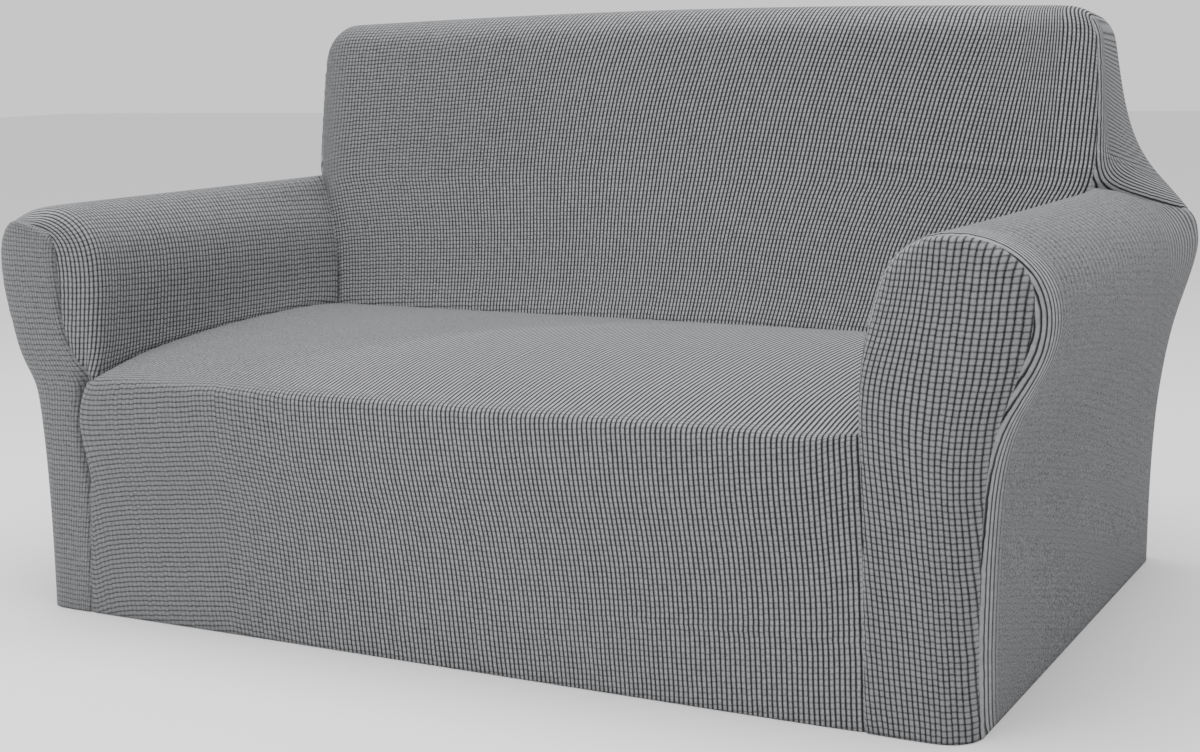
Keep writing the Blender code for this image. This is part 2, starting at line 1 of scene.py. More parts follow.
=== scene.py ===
"""Looks of the sofa slipcover: seven panels of grey waffle knit on the shape of the solids.

Metres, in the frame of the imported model. The first half draws the solids' net of quads from
the same named sizes, with the front seams and the cushion's edge where the photo has them. The
second half smooths it, presses seams and fold lines into it, lays the grain of the cloth over
it and cuts it into panels.
"""
import bpy
import bmesh
import numpy as np
from collections import namedtuple
from math import copysign, cos, exp, hypot, log, pi, radians, sin, sqrt
from mathutils import Matrix, Vector
from mathutils.kdtree import KDTree


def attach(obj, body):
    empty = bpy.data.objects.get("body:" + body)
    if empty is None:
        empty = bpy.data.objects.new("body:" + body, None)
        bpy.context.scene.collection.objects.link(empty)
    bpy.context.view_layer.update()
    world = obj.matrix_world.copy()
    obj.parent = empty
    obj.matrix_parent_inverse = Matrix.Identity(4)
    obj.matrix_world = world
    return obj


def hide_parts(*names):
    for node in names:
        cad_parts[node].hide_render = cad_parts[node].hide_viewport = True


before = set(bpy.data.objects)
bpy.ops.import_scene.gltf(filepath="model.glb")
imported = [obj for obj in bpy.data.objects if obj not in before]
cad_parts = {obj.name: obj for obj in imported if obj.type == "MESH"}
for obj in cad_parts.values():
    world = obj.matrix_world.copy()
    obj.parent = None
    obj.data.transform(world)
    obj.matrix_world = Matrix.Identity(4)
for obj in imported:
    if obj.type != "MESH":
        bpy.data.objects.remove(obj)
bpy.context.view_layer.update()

# Cloth ---
CLOTH = 0.0020              # thickness of the stretch cloth

# Overall sizes ---
DEPTH = 1.046               # front of the seat cushion to the rear face
CUSHION_PROUD = 0.024       # the seat cushion stands this far in front of the arm fronts
FRONT = CUSHION_PROUD - DEPTH / 2      # plane of the arm fronts
REAR = DEPTH / 2                       # plane of the rear face
SEAT_HALF = 0.648           # middle of the seat to an arm

# Seat ---
SEAT_CORNER_HEIGHT = 0.384  # where the seat's front edge meets an arm front
SEAT_REAR_HEIGHT = 0.424    # crease between the seat and the back
SEAT_CREASE_DIP = 0.006     # the deck's side creases lie this far under its surface
SEAT_CROWN = 0.006          # rise of the deck between the arms
CUSHION_END_ROUND = 0.030   # length over which the cushion's left end rounds off to the seam

# Back ---
BACK_EDGE_RADIUS = 0.022    # front edge along the sides of the back
BACK_TOP_RADIUS = 0.050     # front edge along the top of the back
BACK_CORNER_RADIUS = 0.055  # top corners, seen from the front
BACK_CROWN = 0.014          # rise of the top edge between its corners
BACK_SEAM_TURN = 45.0       # the side seam runs halfway round the front edge, degrees
BACK_SWELL = 0.006          # the filled back swells this far between its edges
REAR_TOP_RADIUS = 0.035     # rear edge along the top of the back

# Arm fronts ---
ARM_FRONT_CROWN = 0.007     # the padded arm front swells this far
FULL_CROWN_WIDTH = 0.100    # where it is narrower than this, it swells less

# How many faces each stretch gets ---
COLUMNS = 26                # across the seat, the back and the rear face
APRON_ROWS = 7              # hem to the seat's front edge
EDGE_RINGS = 3              # round the front edge of an arm and of the seat
DECK_ROWS = 8               # front edge to the crease in front of the back
INNER_ROWS = 9              # seat crease to the top of an arm
OUTER_ROWS = APRON_ROWS + INNER_ROWS   # top of an arm to its outer hem
STRIP_ROWS = 9              # top of an arm to the top corner of the back
BACK_RINGS = 2              # round the front edge of the back
TOP_ROWS = 5                # front to rear along the top of the back
REAR_RINGS = 3              # round the rear edge
FACING_COLUMNS = 8          # across an arm front
SIDE_COLUMN_SHARE = 0.90    # how far the columns crowd towards the sides, 0 to 1
READ_STEPS = 40             # steps in which a curve is read from one of its points to the next
BEND_WEIGHT = 0.05          # a bend of one radian gets as many faces as this length
TURN_REACH = 0.02           # part of a step over which a curve's direction is taken
SIDE_FADE_ROWS = 2          # rows in which the back's side edge grows out of the arm
CREASE_POWER = 4            # how suddenly a crease's line turns up to its end
TOP_POWER = 6               # how suddenly the top's front edge narrows at its corners
LIFT_POWER = 2              # how suddenly the rows below the top take on its crown

# Arm outline, from the seat crease over the roll down to the outer hem. Each row gives a place
# on the section (x, height) at the arm front, beside the back's face and at the rear face,
# then the radius of the front edge, the turn of the facing seam round that edge (0 is on the
# front face, 90 on the side) and the radius of the rear edge.
ArmRow = namedtuple("ArmRow", "place front beside rear edge seam_turn rear_edge")
ARM = (
    ArmRow("seat crease", (SEAT_HALF, SEAT_CORNER_HEIGHT), (0.650, SEAT_REAR_HEIGHT),
           (0.650, SEAT_REAR_HEIGHT), 0.008, 45, 0.03),
    ArmRow("inner low", (0.647, 0.460), (0.668, 0.485), (0.668, 0.485), 0.014, 56, 0.03),
    ArmRow("inner side", (0.645, 0.540), (0.684, 0.541), (0.684, 0.541), 0.022, 55, 0.03),
    ArmRow("inner roll", (0.656, 0.604), (0.701, 0.581), (0.701, 0.581), 0.024, 60, 0.03),
    ArmRow("inner top", (0.692, 0.644), (0.722, 0.619), (0.722, 0.619), 0.024, 64, 0.03),
    ArmRow("top", (0.745, 0.658), (0.745, 0.657), (0.845, 0.606), 0.026, 66, 0.040),
    ArmRow("outer top", (0.803, 0.648), (0.802, 0.645), (0.857, 0.582), 0.034, 66, 0.040),
    ArmRow("outer roll", (0.850, 0.610), (0.850, 0.602), (0.862, 0.552), 0.050, 62, 0.040),
    ArmRow("roll edge", (0.866, 0.560), (0.863, 0.545), (0.855, 0.515), 0.066, 50, 0.040),
    ArmRow("under roll", (0.860, 0.502), (0.850, 0.488), (0.842, 0.472), 0.066, 47, 0.040),
    ArmRow("flare", (0.832, 0.446), (0.828, 0.427), (0.824, 0.415), 0.056, 52, 0.038),
    ArmRow("neck", (0.805, 0.392), (0.810, 0.362), (0.811, 0.350), 0.050, 64, 0.036),
    ArmRow("side high", (0.791, 0.310), (0.797, 0.274), (0.799, 0.260), 0.050, 70, 0.034),
    ArmRow("side low", (0.786, 0.160), (0.791, 0.137), (0.792, 0.130), 0.050, 72, 0.032),
    ArmRow("hem", (0.787, 0.0), (0.789, 0.0), (0.790, 0.0), 0.050, 74, 0.032),
)
TOP_OF_ARM = 5              # row of the table where the side of the back stands

# Side of the back, from the top of the arm to the start of the top corner. At the rear the
# stretched cloth leaves the arm's roll in a hollow curve.
SideRow = namedtuple("SideRow", "place beside rear rear_edge")
SIDE = (
    SideRow("arm", ARM[TOP_OF_ARM].beside, ARM[TOP_OF_ARM].rear, 0.040),
    SideRow("web low", (0.749, 0.694), (0.808, 0.648), 0.040),
    SideRow("web", (0.749, 0.736), (0.772, 0.686), 0.038),
    SideRow("web high", (0.748, 0.784), (0.746, 0.738), 0.036),
    SideRow("side", (0.746, 0.836), (0.729, 0.804), REAR_TOP_RADIUS),
    SideRow("corner start", (0.743, 0.884), (0.718, 0.874), REAR_TOP_RADIUS),
)
CORNER_MIDDLE = 45.0        # the side's cloth ends this far round the top corner, degrees
CORNER_TURNS = (22.5, CORNER_MIDDLE, 67.5)      # the last only steers the end of the curve

# Middle line of the seat cloth: distance behind the arm fronts and height.
SeatRow = namedtuple("SeatRow", "place behind height")
SEAT = (
    SeatRow("hem", 0.0, 0.0),
    SeatRow("skirt", 0.0, 0.140),
    SeatRow("under cushion", -0.009, 0.225),
    SeatRow("cushion low", -0.021, 0.285),
    SeatRow("cushion face", -0.024, 0.332),
    SeatRow("edge low", -0.023, 0.374),
    SeatRow("edge", -0.016, 0.3925),
    SeatRow("edge high", 0.006, 0.3995),
    SeatRow("deck front", 0.100, 0.416),
    SeatRow("deck", 0.300, 0.432),
    SeatRow("deck rear", 0.550, 0.434),
    SeatRow("crease", 0.663, SEAT_REAR_HEIGHT),
)
EDGE_LOW = 5                # rows of the table between which the front edge bends
EDGE_HIGH = 7

# Face of the back in the middle: height and distance behind the arm fronts.
FaceRow = namedtuple("FaceRow", "place height behind")
BACK_FACE = (
    FaceRow("crease", SEAT_REAR_HEIGHT, 0.663),
    FaceRow("low", 0.500, 0.697),
    FaceRow("arm height", 0.657, 0.744),
    FaceRow("upper", 0.800, 0.764),
    FaceRow("top", 0.960, 0.778),
)

# Panels in the order in which the net numbers them.
PANELS = (
    "seat_front",
    "inside_back",
    "outside_back",
    "arm_left",
    "arm_right",
    "arm_front_left",
    "arm_front_right",
)
SEAT_FRONT, INSIDE_BACK, OUTSIDE_BACK, ARM_LEFT, ARM_RIGHT, FACING_LEFT, FACING_RIGHT = range(7)
MERGE = 0.00001             # patches share their border points to within this distance
ROUNDING = 1e-9             # reckoned lengths may differ by this
GRAIN = "cloth"             # name of the UV map that holds the cloth's own coordinates


def add_object(name, data):
    """A new object in the scene."""
    thing = bpy.data.objects.new(name, data)
    bpy.context.scene.collection.objects.link(thing)
    return thing


def blend(a, b, share):
    """Value between a and b."""
    return a + (b - a) * share


def hump(values, middle, width):
    """Soft hump of height 1 at the middle, over arrays."""
    return np.exp(-((values - middle) / width) ** 2)


def soft_step(values, start, length):
    """From 0 at the start to 1 a length further, without a kink, over arrays."""
    share = np.clip((values - start) / length, 0, 1)
    return share * share * (3 - 2 * share)


def curve_point(points, place):
    """Point of a smooth curve through the points; place counts them from 0."""
    last = len(points) - 1
    start = min(max(int(place), 0), last - 1)
    share = place - start
    before = points[max(start - 1, 0)]
    a = points[start]
    b = points[start + 1]
    after = points[min(start + 2, last)]
    result = []
    for k in range(len(a)):
        enter = (b[k] - before[k]) / 2
        leave = (after[k] - a[k]) / 2
        bend = 3 * (b[k] - a[k]) - 2 * enter - leave
        ease = 2 * (a[k] - b[k]) + enter + leave
        result.append(a[k] + share * (enter + share * (bend + share * ease)))
    return result


def spread(points, first, last, count):
    """Places on the curve, count steps from first to last, closer where the curve bends."""
    fine = READ_STEPS * (last - first)
    places = [blend(first, last, k / fine) for k in range(fine + 1)]
    spots = [Vector(curve_point(points, place)) for place in places]
    travel = [0.0]
    for k in range(1, len(spots)):
        step = spots[k] - spots[k - 1]
        bend = 0.0
        if k > 1:
            bend = step.angle(spots[k - 1] - spots[k - 2], 0.0)
        travel.append(travel[-1] + step.length + BEND_WEIGHT * bend)
    result = []
    for n in range(count + 1):
        wanted = travel[-1] * n / count
        k = next(k for k, value in enumerate(travel) if value >= wanted - ROUNDING)
        result.append(places[k])
    return result


def edge_depth(distance, radius):
    """How far a rounded edge falls back at a distance inside its outline."""
    if distance >= radius or radius <= 0:
        return 0.0
    return radius - sqrt(radius ** 2 - (radius - distance) ** 2)


def on_edge(x, z, side, radius, turn, face, way=1):
    """Point on the rounded edge of a face; the turn is 0 on the face and a quarter on its side.

    x and z are the edge's outline there, side is the way out, face is the face's Y, and way
    is 1 for a front face and -1 for a rear one.
    """
    inset = radius * (1 - sin(turn))
    y = face + way * radius * (1 - cos(turn))
    return Vector((x - side[0] * inset, y, z - side[1] * inset))


def height_along(points, across):
    """Height of a line of (across, height) points that runs in one direction."""
    for a, b in zip(points, points[1:]):
        if across <= b[0]:
            return blend(a[1], b[1], max((across - a[0]) / (b[0] - a[0]), 0.0))
    return points[-1][1]


def with_corner(points):
    """The side's points with the arc of the top corner added."""
    x, z = points[-1]
    arc = []
    for turn in CORNER_TURNS:
        across = BACK_CORNER_RADIUS * (1 - cos(radians(turn)))
        arc.append((x - across, z + BACK_CORNER_RADIUS * sin(radians(turn))))
    return points + arc


# Places on the outlines where the net's lines run ---
ARM_FRONT_CURVE = [row.front for row in ARM]
ARM_PLACES = (spread(ARM_FRONT_CURVE, 0, TOP_OF_ARM, INNER_ROWS)
              + spread(ARM_FRONT_CURVE, TOP_OF_ARM, len(ARM) - 1, OUTER_ROWS)[1:])
SIDE_BESIDE = with_corner([row.beside for row in SIDE])
SIDE_REAR = with_corner([row.rear for row in SIDE])
SIDE_REAR_EDGES = [(row.rear_edge,) for row in SIDE] + [(REAR_TOP_RADIUS,)] * len(CORNER_TURNS)
SIDE_END = len(SIDE) + CORNER_TURNS.index(CORNER_MIDDLE)
SIDE_PLACES = spread(SIDE_BESIDE, 0, SIDE_END, STRIP_ROWS)
SEAT_CURVE = [(row.behind, row.height) for row in SEAT]
SEAT_PLACES = (spread(SEAT_CURVE, 0, EDGE_LOW, APRON_ROWS)
               + spread(SEAT_CURVE, EDGE_LOW, EDGE_HIGH, EDGE_RINGS)[1:]
               + spread(SEAT_CURVE, EDGE_HIGH, len(SEAT) - 1, DECK_ROWS)[1:])
DECK_START = APRON_ROWS + EDGE_RINGS
SEAT_LINE = [curve_point(SEAT_CURVE, place) for place in SEAT_PLACES]
DECK_LINE = SEAT_LINE[DECK_START:]

# Outline of the rear face, from the outer hem over the arm up to the top corner.
REAR_OUTLINE = [row.rear for row in ARM[:TOP_OF_ARM:-1]] + SIDE_REAR
ARM_REAR_ROWS = len(ARM) - 1 - TOP_OF_ARM


def column_share(column):
    """Share of the half width, -1 to 1, at which a column of the net runs."""
    even = 2 * column / COLUMNS - 1
    crowded = sin(radians(90) * even)
    return blend(even, crowded, SIDE_COLUMN_SHARE)


def left_of(curve, place):
    """In the curve's plane, the unit direction to the left of the way along it."""
    a = curve_point(curve, max(place - TURN_REACH, 0))
    b = curve_point(curve, min(place + TURN_REACH, len(curve) - 1))
    run = (b[0] - a[0], b[1] - a[1])
    length = hypot(*run)
    return (-run[1] / length, run[0] / length)


FACE_CURVE = [(row.height, row.behind) for row in BACK_FACE]
FACE_END = (len(FACE_CURVE) - 1) * READ_STEPS
FACE_LINE = [curve_point(FACE_CURVE, k / READ_STEPS) for k in range(FACE_END + 1)]


def back_face(height):
    """Y of the middle of the back's face at a height."""
    return FRONT + height_along(FACE_LINE, height)


# Arm ---
BESIDE_Y = back_face(ARM[TOP_OF_ARM].beside[1])


def arm_value(name, place):
    """Radius or seam turn of the arm table at a place between its rows."""
    values = [(getattr(row, name),) for row in ARM]
    return curve_point(values, place)[0]


def arm_section(station, place):
    """Point (x, height) of the arm's section at one of its three stations."""
    return curve_point([getattr(row, station) for row in ARM], place)


def arm_edge(row, ring):
    """Point on the front edge of the arm, ring 0 being the facing seam."""
    place = ARM_PLACES[row]
    x, z = arm_section("front", place)
    side = left_of(ARM_FRONT_CURVE, place)
    radius = arm_value("edge", place)
    turn = radians(blend(arm_value("seam_turn", place), 90, ring / EDGE_RINGS))
    if row == len(ARM_PLACES) - 1:
        side = (1.0, 0.0)
    if row == 0:
        side = (-1.0, 0.0)
    return on_edge(x, z, side, radius, turn, FRONT)


def deck_share(row):
    """Share of the deck's length, front to rear, at which a row of the net runs."""
    first = DECK_LINE[0][0]
    last = DECK_LINE[-1][0]
    return (DECK_LINE[row][0] - first) / (last - first)


def deck_side(row):
    """Point of the crease between deck and arm; row 0 is at the front edge."""
    if row == 0:
        return arm_edge(0, EDGE_RINGS)
    share = deck_share(row)
    y = FRONT + blend(arm_value("edge", 0), DECK_LINE[-1][0], share)
    dip = SEAT_CREASE_DIP * (1 - share ** CREASE_POWER)
    x = blend(ARM[0].front[0], ARM[0].beside[0], share)
    return Vector((x, y, height_along(DECK_LINE, y - FRONT) - dip))


def arm_inner(row, step):
    """Point of the arm between its front edge and the back's face."""
    if row == 0:
        return deck_side(step)
    x, z = arm_section("beside", ARM_PLACES[row])
    end = strip_point(0, 0)
    if row > INNER_ROWS:
        end = Vector((x, end.y, z))
    if row < INNER_ROWS:
        # The line on the back's face runs up to the foot of the back's side seam.
        rise = (row / INNER_ROWS) ** CREASE_POWER
        x += (end.x - ARM[TOP_OF_ARM].beside[0]) * rise
        end = Vector((x, back_face(z) + (end.y - BESIDE_Y) * rise, z))
    return arm_edge(row, EDGE_RINGS).lerp(end, deck_share(step))


def rear_side(place):
    """Way out of the sofa at a place of the rear outline."""
    if place == 0:
        return (1.0, 0.0)
    left = left_of(REAR_OUTLINE, place)
    return (-left[0], -left[1])


def rear_corner(x, z, side, radius, ring):
    """Point on a rear edge; ring 0 ends the side and the last ring lies on the rear face."""
    return on_edge(x, z, side, radius, radians(90 * (1 - ring / REAR_RINGS)), REAR, -1)


def arm_outer(row, step):
    """Point of the arm's outer side behind the line of the back's face."""
    if row == INNER_ROWS:
        return strip_point(0, step)
    place = ARM_PLACES[row]
    radius = arm_value("rear_edge", place)
    near = arm_section("beside", place)
    far = arm_section("rear", place)
    if step > BACK_RINGS + TOP_ROWS:
        side = rear_side(len(ARM) - 1 - place)
        return rear_corner(*far, side, radius, step - BACK_RINGS - TOP_ROWS)
    start = strip_point(0, 0).y
    y = strip_point(0, min(step, BACK_RINGS)).y
    if step > BACK_RINGS:
        y = blend(y, REAR - radius, (step - BACK_RINGS) / TOP_ROWS)
    share = (y - start) / (REAR - radius - start)
    return Vector((blend(near[0], far[0], share), y, blend(near[1], far[1], share)))


def arm_point(row, step):
    """Point of the arm cloth; steps run from the facing seam to the rear face."""
    if step <= EDGE_RINGS:
        return arm_edge(row, step)
    if step <= EDGE_RINGS + DECK_ROWS:
        return arm_inner(row, step - EDGE_RINGS)
    return arm_outer(row, step - EDGE_RINGS - DECK_ROWS)


# Side of the back ---
SIDE_REAR_STEPS = BACK_RINGS + TOP_ROWS + REAR_RINGS


def edge_run(near, far, side, far_side, radius, rear_radius, step):
    """Point of the cloth that runs from the back's front edge round its rear edge.

    near and far are the places (x, height) on the outlines beside the face and at the rear,
    side and far_side the ways out of the sofa there. Step 0 is halfway round the front edge.
    """
    if step > BACK_RINGS + TOP_ROWS:
        return rear_corner(*far, far_side, rear_radius, step - BACK_RINGS - TOP_ROWS)
    face = back_face(near[1])
    start = face + radius * (1 - cos(radians(BACK_SEAM_TURN)))
    end = REAR - rear_radius
    y = blend(face + radius, end, (step - BACK_RINGS) / TOP_ROWS)
    inset = 0.0
    if step < BACK_RINGS:
        turn = radians(blend(BACK_SEAM_TURN, 90, step / BACK_RINGS))
        y = face + radius * (1 - cos(turn))
        inset = radius * (1 - sin(turn))
    share = (y - start) / (end - start)
    x = blend(near[0], far[0], share) - side[0] * inset
    z = blend(near[1], far[1], share) - side[1] * inset
    return Vector((x, y, z))


def strip_point(row, step):
    """Point of the back's side; step 0 is the front seam, the last lies on the rear face."""
    place = SIDE_PLACES[row]
    near = curve_point(SIDE_BESIDE, place)
    far = curve_point(SIDE_REAR, place)
    left = left_of(SIDE_BESIDE, place)
    side = (-left[0], -left[1]) if row > 0 else (1.0, 0.0)
    far_side = rear_side(ARM_REAR_ROWS + place)
    rear_radius = curve_point(SIDE_REAR_EDGES, place)[0]
    return edge_run(near, far, side, far_side, BACK_EDGE_RADIUS, rear_radius, step)


# Seat and apron ---
def seat_side(row):
    """Right border of the seat cloth, from the hem up the seam and along the side crease."""
    if row <= APRON_ROWS:
        corner = arm_edge(0, 0)
        height = SEAT_LINE[row][1] * corner.z / SEAT_LINE[APRON_ROWS][1]
        return Vector((corner.x, corner.y, height))
    if row <= DECK_START:
        return arm_edge(0, row - APRON_ROWS)
    return deck_side(row - DECK_START)


# Inside of the back, its top and the rear face ---
FACE_ROWS = INNER_ROWS + STRIP_ROWS
BACK_ROWS = FACE_ROWS + SIDE_REAR_STEPS


def top_outline(share, half):
    """Rise of the top's outline over its corner point, and the way out of the sofa there."""
    reach = BACK_CORNER_RADIUS * cos(radians(CORNER_MIDDLE))
    across = max(reach - half * (1 - abs(share)), 0.0)
    up = sqrt(BACK_CORNER_RADIUS ** 2 - across ** 2)
    rise = up - reach + BACK_CROWN * (1 - share ** 2)
    return rise, (copysign(across, share) / BACK_CORNER_RADIUS, up / BACK_CORNER_RADIUS)


def back_border(row):
    """Right border of the inside back: the arm, the side seam and the top's side seam."""
    if row <= INNER_ROWS:
        return arm_inner(row, DECK_ROWS)
    if row <= FACE_ROWS:
        return strip_point(row - INNER_ROWS, 0)
    return strip_point(STRIP_ROWS, row - FACE_ROWS)


def top_radius(share):
    """Radius of the top's front edge, smaller towards the corners."""
    return blend(BACK_TOP_RADIUS, BACK_EDGE_RADIUS, abs(share) ** TOP_POWER)


def top_point(step, column):
    """Point of the top; step 0 is halfway round its front edge, the last on the rear face."""
    share = column_share(column)
    near = curve_point(SIDE_BESIDE, SIDE_END)
    far = curve_point(SIDE_REAR, SIDE_END)
    rise, side = top_outline(share, near[0])
    far_rise, far_side = top_outline(share, far[0])
    near = (share * near[0], near[1] + rise)
    far = (share * far[0], far[1] + far_rise)
    return edge_run(near, far, side, far_side, top_radius(share), REAR_TOP_RADIUS, step)


def outline_distance(x, z, half, share):
    """How far a point of the face lies inside the back's outline, round its top corner."""
    reach = BACK_CORNER_RADIUS * cos(radians(CORNER_MIDDLE))
    top = curve_point(SIDE_BESIDE, SIDE_END)[1] + BACK_CORNER_RADIUS - reach
    from_side = half - abs(x)
    from_top = top + BACK_CROWN * (1 - share ** 2) - z
    if max(from_side, from_top) < BACK_CORNER_RADIUS:
        away = hypot(BACK_CORNER_RADIUS - from_side, BACK_CORNER_RADIUS - from_top)
        return max(BACK_CORNER_RADIUS - away, 0.0)
    return min(from_side, from_top)


def back_point(row, column):
    """Point of the inside back, which also covers the top."""
    share = column_share(column)
    border = back_border(row)
    if abs(share) == 1:
        return Vector((share * border.x, border.y, border.z))
    if row >= FACE_ROWS:
        return top_point(row - FACE_ROWS, column)
    climb = max(row - INNER_ROWS, 0) / STRIP_ROWS
    crest = top_point(0, column)
    corner = strip_point(STRIP_ROWS, 0)
    lift = climb ** LIFT_POWER
    x = share * border.x + lift * (crest.x - share * corner.x)
    z = border.z + lift * (crest.z - corner.z)
    seam_inset = BACK_EDGE_RADIUS * (1 - sin(radians(BACK_SEAM_TURN)))
    half = max(border.x + seam_inset, SIDE[-1].beside[0])
    fall = edge_depth(outline_distance(x, z, half, share), top_radius(share))
    fade = min(climb * STRIP_ROWS / SIDE_FADE_ROWS, 1)
    swell = BACK_SWELL * (1 - share ** 2) * sin(radians(180) * row / FACE_ROWS)
    return Vector((x, back_face(z) + fall * fade - swell, z))


REAR_ROWS = OUTER_ROWS + STRIP_ROWS


def rear_border(row):
    """Right border of the rear face, from the hem to the top corner."""
    if row <= OUTER_ROWS:
        return arm_point(len(ARM_PLACES) - 1 - row, EDGE_RINGS + DECK_ROWS + SIDE_REAR_STEPS)
    return strip_point(row - OUTER_ROWS, SIDE_REAR_STEPS)


def rear_point(row, column):
    """Point of the flat rear face."""
    share = column_share(column)
    border = rear_border(row)
    corner = rear_border(REAR_ROWS)
    crest = back_point(BACK_ROWS, column)
    lift = (max(row - OUTER_ROWS, 0) / STRIP_ROWS) ** LIFT_POWER
    x = share * border.x + lift * (crest.x - share * corner.x)
    return Vector((x, REAR, border.z + lift * (crest.z - corner.z)))


# Arm front ---
def facing_fall(row, walked):
    """How far the arm's front edge falls back at a distance inside the facing seam."""
    place = ARM_PLACES[row]
    radius = arm_value("edge", place)
    inset = radius * (1 - sin(radians(arm_value("seam_turn", place))))
    return edge_depth(inset + walked, radius)


def facing_share(column):
    """Share of the way from the inner to the outer seam at which a column runs."""
    return (1 - cos(radians(180) * column / FACING_COLUMNS)) / 2


def facing_point(row, column):
    """Point of the panel on an arm's front, from its inner seam to its outer seam."""
    inner_row = max(row - APRON_ROWS, 0)
    outer_row = len(ARM_PLACES) - 1 - row
    inner = seat_side(row) if row <= APRON_ROWS else arm_edge(inner_row, 0)
    outer = arm_edge(outer_row, 0)
    share = facing_share(column)
    point = inner.lerp(outer, share)
    if column in (0, FACING_COLUMNS):
        return point
    width = (outer - inner).length
    fall = facing_fall(outer_row, (1 - share) * width)
    if row > APRON_ROWS:
        fall = max(fall, facing_fall(inner_row, share * width))
    crown = ARM_FRONT_CROWN * min(width / FULL_CROWN_WIDTH, 1)
    crown *= sin(radians(180) * share) * sin(radians(180) * row / OUTER_ROWS) ** 2
    point.y = FRONT + fall - crown
    return point


# The net, with the cloth's own coordinates ---
def run_along(points):
    """Distance walked from the first point to each point of a line."""
    walked = [0.0]
    for a, b in zip(points, points[1:]):
        walked.append(walked[-1] + (Vector(b) - Vector(a)).length)
    return walked


MIDDLE = COLUMNS // 2
FRONT_STEPS = EDGE_RINGS + DECK_ROWS
ARM_STEPS = FRONT_STEPS + SIDE_REAR_STEPS
SEAT_RUN = run_along(SEAT_LINE)
BACK_RUN = run_along([back_point(row, MIDDLE) for row in range(BACK_ROWS + 1)])
ARM_SECTION_RUN = run_along([arm_edge(row, EDGE_RINGS) for row in range(len(ARM_PLACES))])
ARM_LENGTH_RUN = run_along([arm_point(INNER_ROWS, step) for step in range(ARM_STEPS + 1)])
STRIP_RUN = run_along([strip_point(STRIP_ROWS // 2, step) for step in range(SIDE_REAR_STEPS + 1)])
BACK_HALF = SIDE[0].beside[0]
REAR_HALF = ARM[-1].rear[0]
FACING_WIDE_FROM = 0.700    # the arm front's ribs are pulled wide outside this X
FACING_TIGHT = 1.16         # their number for each metre on the inner side, against the cloth's
FACING_WIDE = 0.80          # the same on the outer side of the roll
FACING_LOW = 1.08           # the same on the outer side of the narrow foot
FACING_ROW_SHARE = 0.95     # number of its rows for each metre up, against the cloth's
NECK_HEIGHT = 0.40          # the ribs bend here, where the arm's front is narrowest
NECK_SOFT = 0.05            # how softly they bend
NECK_BLEND = 0.22           # height over which the foot's pitch turns into the roll's
NECK_LEAN_UP = 0.11         # lean of the ribs above the neck
NECK_LEAN_DOWN = 0.085      # and below it
ARM_RIB_SHARE = 0.80        # number of ribs for each metre of an arm, against the cloth's
# The same round the front edge and in the first stretch behind it, by row.
ARM_RIB_ROWS = (INNER_ROWS, INNER_ROWS + 4, INNER_ROWS + 8)
EDGE_RIB_SHARES = (1.00, 0.68, 0.50)
NEAR_RIB_SHARES = (0.80, 0.54, 0.40)
NEAR_LENGTH = ARM_LENGTH_RUN[EDGE_RINGS + 1] - ARM_LENGTH_RUN[EDGE_RINGS]   # that stretch
ARM_ROW_SHARE = 0.88        # the same for its rows
ARM_ROW_HINGE = 0.30        # place round the arm from which the rows spread backwards
ARM_ROW_SPREAD = 0.35       # share by which they have spread, for each metre back
STRIP_RIB_SHARE = 1.25      # number of ribs for each metre of the back's side strip
STRIP_TURN = 0.014          # how softly its lines turn from the seam to the crease


def seat_grain(row, column):
    """Place on the cloth of a corner of the seat and apron: across and along, in metres."""
    return column_share(column) * SEAT_HALF, SEAT_RUN[row]


def back_grain(row, column):
    """The same on the inside back and the top."""
    return column_share(column) * BACK_HALF, BACK_RUN[row]


def rear_grain(row, column):
    """The same on the rear face."""
    return column_share(column) * REAR_HALF, rear_border(row).z


def strip_grain(row, step):
    """The same on the side of the back: lines beside its seam, which turn along the crease."""
    beside = STRIP_RUN[step]
    above = (strip_point(row, step) - strip_point(0, step)).length
    nearest = -log(exp(-beside / STRIP_TURN) + exp(-above / STRIP_TURN)) * STRIP_TURN
    return nearest * STRIP_RIB_SHARE, rear_border(OUTER_ROWS + row).z


def arm_grain(row, step, place=arm_point):
    """The same on an arm: along the arm, and round its section."""
    back = ARM_LENGTH_RUN[step] - ARM_LENGTH_RUN[EDGE_RINGS]
    near_share = float(np.interp(row, ARM_RIB_ROWS, NEAR_RIB_SHARES))
    along = min(back, NEAR_LENGTH) * near_share + max(back - NEAR_LENGTH, 0) * ARM_RIB_SHARE
    if step < EDGE_RINGS:
        edge = run_along([place(row, ring) for ring in range(step, EDGE_RINGS + 1)])
        along = -edge[-1] * float(np.interp(row, ARM_RIB_ROWS, EDGE_RIB_SHARES))
    spread_rows = 1 - ARM_ROW_SPREAD * ARM_LENGTH_RUN[step]
    return along, (ARM_SECTION_RUN[row] - ARM_ROW_HINGE) * spread_rows * ARM_ROW_SHARE


def facing_grain(row, column):
    """The same on an arm's front, whose ribs stand upright and bend at the neck."""
    spot = facing_point(row, column)
    rise = spot.z - NECK_HEIGHT
    bend = hypot(rise, NECK_SOFT)
    x = spot.x - NECK_LEAN_UP * (bend + rise) / 2 - NECK_LEAN_DOWN * (bend - rise) / 2
    beyond = x - FACING_WIDE_FROM
    above = float(soft_step(spot.z, NECK_HEIGHT - NECK_BLEND / 2, NECK_BLEND))
    wide = blend(FACING_LOW, FACING_WIDE, above)
    return beyond * (wide if beyond > 0 else FACING_TIGHT), spot.z * FACING_ROW_SHARE


